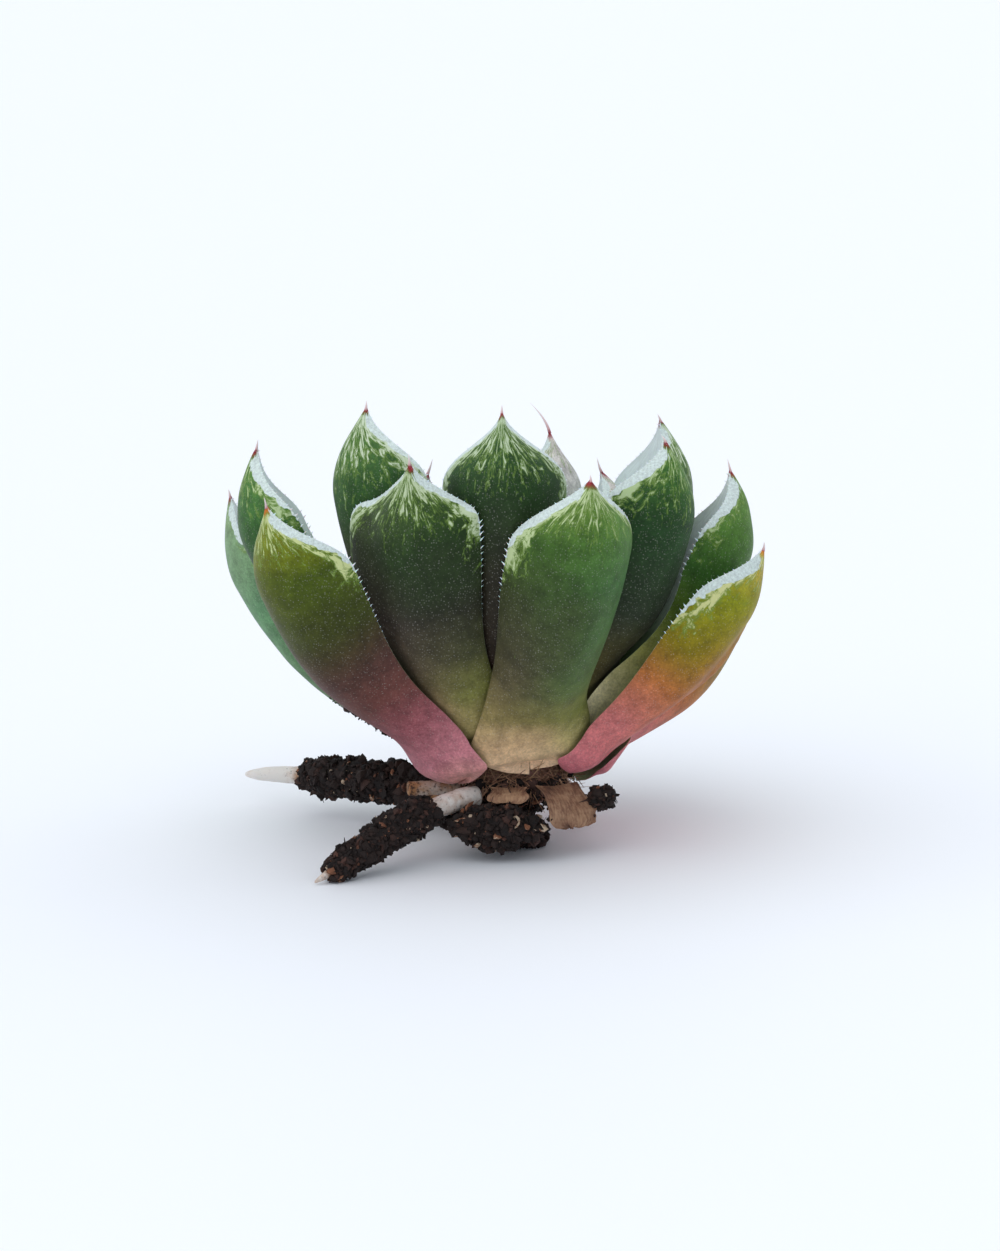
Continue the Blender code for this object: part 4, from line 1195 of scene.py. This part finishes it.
# %% Peat material
def peat_material():
    """Moist sphagnum peat: near black, with red-brown shreds and some pale grit; each crumb has its tone."""
    made, tree, shader = new_material("moist peat")
    place = add(tree, "ShaderNodeTexCoord").outputs["Object"]
    own = add(tree, "ShaderNodeAttribute", {"attribute_name": "tone"})
    fine = add(tree, "ShaderNodeTexNoise", Vector=place, Scale=1 / (0.4 * MM), Detail=4.0, Roughness=0.7)
    level = add(
        tree, "ShaderNodeMath", {"operation": "MULTIPLY_ADD"}, _0=fine.outputs["Fac"], _1=0.35,
        _2=own.outputs["Fac"]
    )
    ramp = add(tree, "ShaderNodeValToRGB", Fac=level.outputs[0])
    elements = ramp.color_ramp.elements
    for position, code in zip((0.15, 0.5, 0.8, 0.98), ("#15100f", "#2b1f1b", "#4b3129", "#8a5a40")):
        elements.new(position).color = colour(code)
    elements.remove(elements[0])
    elements[-1].color = colour("#b9a58e")
    elements[-1].position = 1.0
    tree.links.new(ramp.outputs[0], shader.inputs["Base Color"])
    bump = add(tree, "ShaderNodeBump", Height=fine.outputs["Fac"], Strength=0.7, Distance=0.15 * MM)
    tree.links.new(bump.outputs[0], shader.inputs["Normal"])
    shader.inputs["Roughness"].default_value = 0.78
    shader.inputs["Specular IOR Level"].default_value = 0.3
    return made


peat = peat_material()
print("peat material with", len(peat.node_tree.nodes), "nodes")

# %% Where the soil sits
# A crust is a sleeve between two shares of its core's length, with its thickness in mm. A clump is a ball
# with its place and half sizes in mm. Both end with the seed, the number and the size in mm of their crumbs.
Crust = namedtuple("Crust", "name core first last thickness seed crumbs crumb_size")
CRUSTS = [
    Crust("soil_left", "root_left", 0.16, 0.74, 0.72, 300, 2600, 0.26),
    Crust("soil_front", "root_front", 0.34, 0.92, 0.6, 310, 2400, 0.24),
    Crust("soil_collar", "stub", 0.30, 0.72, 1.3, 320, 1000, 0.28),
]
FRONT_PLACE = (0.2, -STUB_RADIUS / MM - 5.5, 0.60 * STUB_TOP / MM)
RIGHT_PLACE = (12.2, -5.4, 1.02 * STUB_TOP / MM)
Clump = namedtuple("Clump", "name place size seed crumbs crumb_size")
CLUMPS = [
    Clump("soil_clump_front", FRONT_PLACE, (4.6, 1.7, 2.5), 330, 1500, 0.28),
    Clump("soil_clump_right", RIGHT_PLACE, (1.4, 1.2, 1.3), 340, 300, 0.25),
]
CORES = {root.name: root for root in [*ROOTS, STUB]}
print(len(CRUSTS), "crusts and", len(CLUMPS), "clumps")


def rough(points, seed):
    """Lumps of 2.2 mm with smaller ones of 0.8 mm and 0.35 mm on them, from -1 to 1."""
    return (
        0.5 * clouds(points, 2.2 * MM, seed) + 0.3 * clouds(points, 0.8 * MM, seed + 1)
        + 0.2 * clouds(points, 0.35 * MM, seed + 2)
    )


def crust_surface(crust, turn, rise):
    """A sleeve round its root: rise turns once round the sleeve's own section, from inside to outside."""
    core = CORES[crust.core]
    along = crust.first + (crust.last - crust.first) * (1 - np.cos(rise)) / 2
    middle, right, up = root_frame(core, along)
    spoke = np.cos(turn)[..., None] * right + np.sin(turn)[..., None] * up
    bulge = np.clip(np.sin(rise), 0, 1) ** 0.6 * crust.thickness * MM
    where = middle + (root_radius(core, along) + 2 * bulge)[..., None] * spoke
    radius = root_radius(core, along) + 0.2 * MM + bulge * (1.15 + 0.9 * rough(where, crust.seed))
    return above_floor(middle + radius[..., None] * spoke)


# %% Crumbs and splinters
CRUMB_CORNERS = 12
SPLINTER_ROWS, SPLINTER_SIDES = 6, 3
SPLINTER_POINTS = SPLINTER_ROWS * SPLINTER_SIDES + 2
ONE_SPLINTER_IN = 16  # crumbs


def crumb_shape():
    """An icosahedron's twelve corners and twenty faces."""
    golden = (1 + 5**0.5) / 2
    corners = []
    for a in (-1, 1):
        for b in (-golden, golden):
            corners += [(0, a, b), (a, b, 0), (b, 0, a)]
    corners = np.array(corners) / math.hypot(1, golden)
    gaps = np.linalg.norm(corners[:, None] - corners[None], axis=-1)
    near = (gaps > 0.1) & (gaps < 1.2)
    triples = combinations(range(CRUMB_CORNERS), 3)
    faces = np.array([(a, b, c) for a, b, c in triples if near[a, b] and near[b, c] and near[a, c]])
    a, b, c = (corners[faces[:, k]] for k in range(3))
    turned = np.einsum("ij,ij->i", a, np.cross(b, c)) < 0
    faces[turned] = faces[turned][:, ::-1]
    return corners, faces


def make_crumbs(places, sizes, draw, stretch=(0.35, 1.7)):
    """Broken lumps: each is the icosahedron with its corners jolted, stretched and turned at random."""
    corners, faces = crumb_shape()
    count = len(places)
    jolted = corners[None] * draw.uniform(0.6, 1.25, (count, CRUMB_CORNERS, 1))
    jolted = jolted * draw.uniform(*stretch, (count, 1, 3))
    turns, _ = np.linalg.qr(draw.normal(size=(count, 3, 3)))
    turns[np.linalg.det(turns) < 0, :, 0] *= -1
    points = places[:, None] + np.einsum("nij,nkj->nki", turns, jolted) * sizes[:, None, None]
    shift = (np.arange(count) * CRUMB_CORNERS)[:, None, None]
    return points.reshape(-1, 3), (faces[None] + shift).reshape(-1, 3)


def make_splinters(places, heading, lengths, radii, draw):
    """Thin shreds and hairs: three-sided tubes of six rings that start at a place and curl away from it."""
    count = len(places)
    step = np.linspace(0, 1, SPLINTER_ROWS)
    bend = draw.normal(0, 0.55, (count, 3))
    middle = places[:, None] + lengths[:, None, None] * (
        step[None, :, None] * heading[:, None] + (step**2)[None, :, None] * bend[:, None]
    )
    right = np.cross(heading, draw.normal(size=(count, 3)))
    right /= np.linalg.norm(right, axis=1, keepdims=True)
    up = np.cross(heading, right)
    turn = np.arange(SPLINTER_SIDES) / SPLINTER_SIDES * TURN
    ring = np.cos(turn)[None, :, None] * right[:, None] + np.sin(turn)[None, :, None] * up[:, None]
    taper = radii[:, None] * (1 - 0.7 * step[None] ** 2)
    return middle[:, :, None] + taper[..., None, None] * ring[:, None]


def peat_tones(count, draw):
    """Tones of crumbs: most are near black, some red-brown and a few pale."""
    tones = draw.beta(1.6, 3.4, count) * 0.8
    return np.where(draw.random(count) < 0.035, draw.uniform(0.75, 0.85, count), tones)


def scatter(name, places, outward, size, draw):
    """Covers places with crumbs and some splinters as one piece."""
    count, splinters = len(places), len(places) // ONE_SPLINTER_IN
    sizes = size * MM * draw.gamma(2.2, 0.36, count).clip(0.3, 2.2)
    crumb_points, crumb_faces = make_crumbs(places, sizes, draw)
    chosen = draw.choice(count, splinters, replace=False)
    heading = outward[chosen] + draw.normal(0, 0.7, (splinters, 3))
    heading /= np.linalg.norm(heading, axis=1, keepdims=True)
    tubes = make_splinters(
        places[chosen] - 0.3 * MM * outward[chosen], heading, draw.uniform(0.3, 0.9, splinters) * MM,
        draw.uniform(0.05, 0.16, splinters) * MM, draw,
    )
    tube_points, (tube_quads, tube_fans) = many_capped(tubes)
    crumb_tones = np.repeat(peat_tones(count, draw), CRUMB_CORNERS)
    tube_tones = np.repeat(peat_tones(splinters, draw), SPLINTER_POINTS)
    tones = np.concatenate([crumb_tones, tube_tones])
    points = np.concatenate([crumb_points, tube_points])
    shift = len(crumb_points)
    faces = (tube_quads + shift, np.concatenate([crumb_faces, tube_fans + shift]))
    made = make_piece(name, above_floor(points), faces, peat, {"tone": tones}, smooth=False)
    return made


# %% Build the soil
CRUST_ROWS, CRUST_SIDES = 120, 96
CLUMP_ROWS, CLUMP_SIDES = 60, 80


def make_crust(crust):
    """The sleeve's dark body, then its crumbs."""
    section, around = np.arange(CRUST_ROWS) / CRUST_ROWS * TURN, np.arange(CRUST_SIDES) / CRUST_SIDES * TURN
    rise, turn = np.meshgrid(section, around, indexing="ij")
    points = crust_surface(crust, turn, rise)
    values = {"tone": (0.12 + 0.18 * clouds(points, 0.7 * MM, crust.seed + 5)).ravel()}
    faces = ring_faces(CRUST_ROWS, CRUST_SIDES)
    body = make_piece(crust.name + "_body", points.reshape(-1, 3), faces, peat, values)
    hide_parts(crust.name)
    draw = np.random.default_rng(crust.seed)
    draw.random(crust.crumbs)  # one row of numbers is passed over, which keeps every crumb in its place
    turn = draw.uniform(0, TURN, crust.crumbs)
    rise = np.arccos(np.clip(1 - 2 * draw.uniform(-0.02, 1.02, crust.crumbs), -1, 1))
    places = crust_surface(crust, turn, rise)
    share = (1 - np.cos(rise)) / 2
    middle = root_frame(CORES[crust.core], crust.first + (crust.last - crust.first) * share)[0]
    outward = places - middle
    outward /= np.linalg.norm(outward, axis=1, keepdims=True)
    return body, scatter(crust.name + "_crumbs", places, outward, crust.crumb_size, draw)


def ball_directions(count, draw):
    """Random directions, evenly spread over a ball."""
    directions = draw.normal(size=(count, 3))
    return directions / np.linalg.norm(directions, axis=1, keepdims=True)


def make_clump(clump):
    """A lump of soil: a ball with rough skin, and crumbs over it."""
    tilt, around = np.linspace(0.02, 0.98, CLUMP_ROWS) * math.pi, np.arange(CLUMP_SIDES) / CLUMP_SIDES * TURN
    down, turn = np.meshgrid(tilt, around, indexing="ij")
    ball = np.stack([np.sin(down) * np.cos(turn), np.sin(down) * np.sin(turn), np.cos(down)], axis=-1)
    centre, half = np.array(clump.place) * MM, np.array(clump.size) * MM
    points = centre + ball * half * (0.95 + 0.45 * rough(centre + ball * half, clump.seed))[..., None]
    values = {"tone": capped(0.12 + 0.2 * clouds(points, 0.7 * MM, clump.seed + 5))}
    faces = capped_faces(CLUMP_ROWS, CLUMP_SIDES)
    body = make_piece(clump.name + "_body", capped(above_floor(points)), faces, peat, values)
    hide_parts(clump.name)
    draw = np.random.default_rng(clump.seed)
    outward = ball_directions(clump.crumbs, draw)
    places = centre + outward * half * (0.98 + 0.45 * rough(centre + outward * half, clump.seed))[:, None]
    return body, scatter(clump.name + "_crumbs", places, outward, clump.crumb_size, draw)


soil = [piece for crust in CRUSTS for piece in make_crust(crust)]
soil += [piece for clump in CLUMPS for piece in make_clump(clump)]
print("soil:", sum(len(piece.data.polygons) for piece in soil), "faces")

# %% [markdown]
# ## Withered leaf bases
#
# Old leaves dry to thin brown paper that tears along its veins. Crumpled cloth would be one way to make it.
# The leaf formula already gives the right curve round the stem, so it only needs creases and a torn edge.

# %% Paper material
def paper_material():
    """Dry leaf tissue: fibrous tan paper, matt, darker where soil has stained it."""
    made, tree, shader = new_material("withered leaf tissue")
    place = add(tree, "ShaderNodeTexCoord").outputs["Object"]
    grain = add(tree, "ShaderNodeAttribute", {"attribute_name": "grain"})
    stretched = add(
        tree, "ShaderNodeMapping", Vector=grain.outputs["Vector"],
        Scale=(1 / (0.25 * MM), 1 / (2.5 * MM), 1 / MM)
    )
    veins = add(tree, "ShaderNodeTexNoise", Vector=stretched.outputs[0], Scale=1.0, Detail=3.0)
    patches = add(tree, "ShaderNodeTexNoise", Vector=place, Scale=1 / (2.2 * MM), Detail=5.0, Roughness=0.7)
    level = add(
        tree, "ShaderNodeMath", {"operation": "MULTIPLY_ADD"}, _0=veins.outputs["Fac"], _1=0.5,
        _2=patches.outputs["Fac"]
    )
    ramp = add(tree, "ShaderNodeValToRGB", Fac=level.outputs[0])
    ramp.color_ramp.elements[0].position, ramp.color_ramp.elements[0].color = 0.5, colour("#4a3226")
    ramp.color_ramp.elements[1].position, ramp.color_ramp.elements[1].color = 0.95, colour("#b08c6c")
    ramp.color_ramp.elements.new(0.7).color = colour("#7c5843")
    tree.links.new(ramp.outputs[0], shader.inputs["Base Color"])
    bump = add(tree, "ShaderNodeBump", Height=veins.outputs["Fac"], Strength=0.6, Distance=0.1 * MM)
    tree.links.new(bump.outputs[0], shader.inputs["Normal"])
    shader.inputs["Roughness"].default_value = 0.8
    return made


paper_tissue = paper_material()
print("paper material with", len(paper_tissue.node_tree.nodes), "nodes")


# %% Build the withered leaf bases
PAPER_ROWS, PAPER_COLUMNS = 120, 96


def make_dry_leaf(leaf, seed):
    """The leaf formula with creases of 1.5 mm pressed into it and a ragged free end."""
    around = (np.arange(PAPER_COLUMNS) + 0.5) / PAPER_COLUMNS * TURN
    step, turn = np.meshgrid(np.linspace(0, 1, PAPER_ROWS), around, indexing="ij")
    across, side = np.cos(turn), (np.sin(turn) > 0).astype(float)
    torn = clouds(np.stack([across * 3, 0 * step, 0 * step + seed], -1), 0.5, seed)
    ragged = 1 - 0.12 * step * (0.5 + 0.5 * torn)
    along = step * ragged
    points = leaf_surface(leaf, along, across, side)
    sheet_points = leaf_surface(leaf, along, across, np.full_like(side, 0.5))
    crease = 0.45 * clouds(sheet_points, 1.5 * MM, seed) + 0.2 * clouds(sheet_points, 0.5 * MM, seed + 1)
    axis_way = sheet_points - placed(np.zeros(3))
    axis_way /= np.linalg.norm(axis_way, axis=-1, keepdims=True)
    points = points + (crease * MM * blend(0, 0.3, step))[..., None] * axis_way
    grain = np.stack([across * leaf.width / 2 * MM, along * 8 * MM, side * MM], axis=-1)
    made = make_piece(
        leaf.name + "_tissue", capped(above_floor(points)), capped_faces(*step.shape), paper_tissue,
        {"grain": capped(grain)},
    )
    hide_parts(leaf.name)
    return made


dry = [make_dry_leaf(leaf, 400 + 10 * number) for number, leaf in enumerate(DRY_LEAVES)]
print(len(dry), "withered leaf bases")

# %% [markdown]
# ## Loose strands and crumbs
#
# Under the leaves hang torn strands of old sheaths, and soil clings wherever the plant lay in it. Hair
# curves with a Geometry Nodes scatter would do this on any mesh. Here the same splinters and crumbs as on
# the roots are placed by chance within limits, so that the dirt stays where it really lies.


# %% Torn sheath fibres
def make_fibres(count, seed):
    """Strands left by old leaf sheaths, hanging from the widest ring of the stem."""
    draw = np.random.default_rng(seed)
    turn = draw.normal(0.15, 0.75, count)
    height = -STEM_SKIRT * draw.uniform(-0.1, 0.6, count)
    outward = np.stack([np.sin(turn), -np.cos(turn), 0 * turn], axis=-1)
    start = 1.01 * STEM_RADIUS * outward
    start[:, 2] = height
    heading = outward * 0.25 + draw.normal(0, 0.55, (count, 3)) - np.array([0, 0, 0.45])
    heading /= np.linalg.norm(heading, axis=1, keepdims=True)
    tubes = make_splinters(
        placed(start), heading @ SLANT.T, draw.uniform(0.8, 2.6, count) * MM,
        draw.uniform(0.05, 0.13, count) * MM, draw
    )
    points, faces = many_capped(tubes)
    grain = np.repeat(draw.uniform(-5, 5, (count, 3)) * MM, SPLINTER_POINTS, axis=0)
    made = make_piece(
        "sheath_fibres", above_floor(points), faces, paper_tissue, {"grain": grain}, smooth=False
    )


FIBRES = 260
make_fibres(FIBRES, 500)
print(FIBRES, "fibres")


# %% Loose soil
def soil_on_stem(count, seed):
    """Crumbs that cling to the front of the stub and of the stem's skirt."""
    draw = np.random.default_rng(seed)
    height = draw.uniform(0.45, 1.3, count) * STUB_TOP
    turn = draw.normal(0.1, 0.5, count)
    outward = np.stack([np.sin(turn), -np.cos(turn), 0 * turn], axis=-1)
    places = outward * (stub_skin(height) + draw.uniform(0, 0.9, count) * MM)[:, None]
    places = places + np.stack([STUB_SWAY * height, 0 * height, height], axis=-1)
    return scatter("soil_on_stem_crumbs", places, outward, 0.3, draw)


def soil_on_leaf(leaf, middle, spread, count, seed):
    """Dirt stuck on the outside of a leaf, round a share of its length and as far as spread either way."""
    draw = np.random.default_rng(seed)
    along = draw.normal(middle, 0.4 * spread, count).clip(middle - spread, middle + spread)
    across = draw.normal(0, 0.5, count).clip(-0.95, 0.95)
    places = leaf_surface(leaf, along, across, np.ones(count))
    inner = leaf_surface(leaf, along, across, np.zeros(count))
    outward = (places - inner) / np.linalg.norm(places - inner, axis=1, keepdims=True)
    return scatter(leaf.name + "_crumbs", places + 0.05 * MM * outward, outward, 0.19, draw)


def soil_bridge(count, seed):
    """Loose crumbs packed between the front clump, the front root and the stub."""
    draw = np.random.default_rng(seed)
    outward = ball_directions(count, draw)
    centre = np.array([-1.6 * MM, -STUB_RADIUS - 2.6 * MM, 0.62 * STUB_TOP])
    places = centre + outward * np.array([4.4, 2.0, 1.7]) * MM * draw.uniform(0.4, 1, (count, 1)) ** 0.5
    return scatter("soil_bridge_crumbs", places, outward, 0.3, draw)


soiled_leaf = next(leaf for leaf in LEAVES if leaf.name == "outer_leaf_4")
loose = [
    soil_on_stem(count=620, seed=510),
    soil_bridge(count=1100, seed=515),
    soil_on_leaf(soiled_leaf, middle=0.27, spread=0.15, count=420, seed=520),
    soil_on_leaf(DRY_LEAVES[0], middle=0.6, spread=0.38, count=240, seed=530),
    soil_on_leaf(DRY_LEAVES[1], middle=0.6, spread=0.38, count=120, seed=540),
]
print(len(loose), "patches of loose soil")
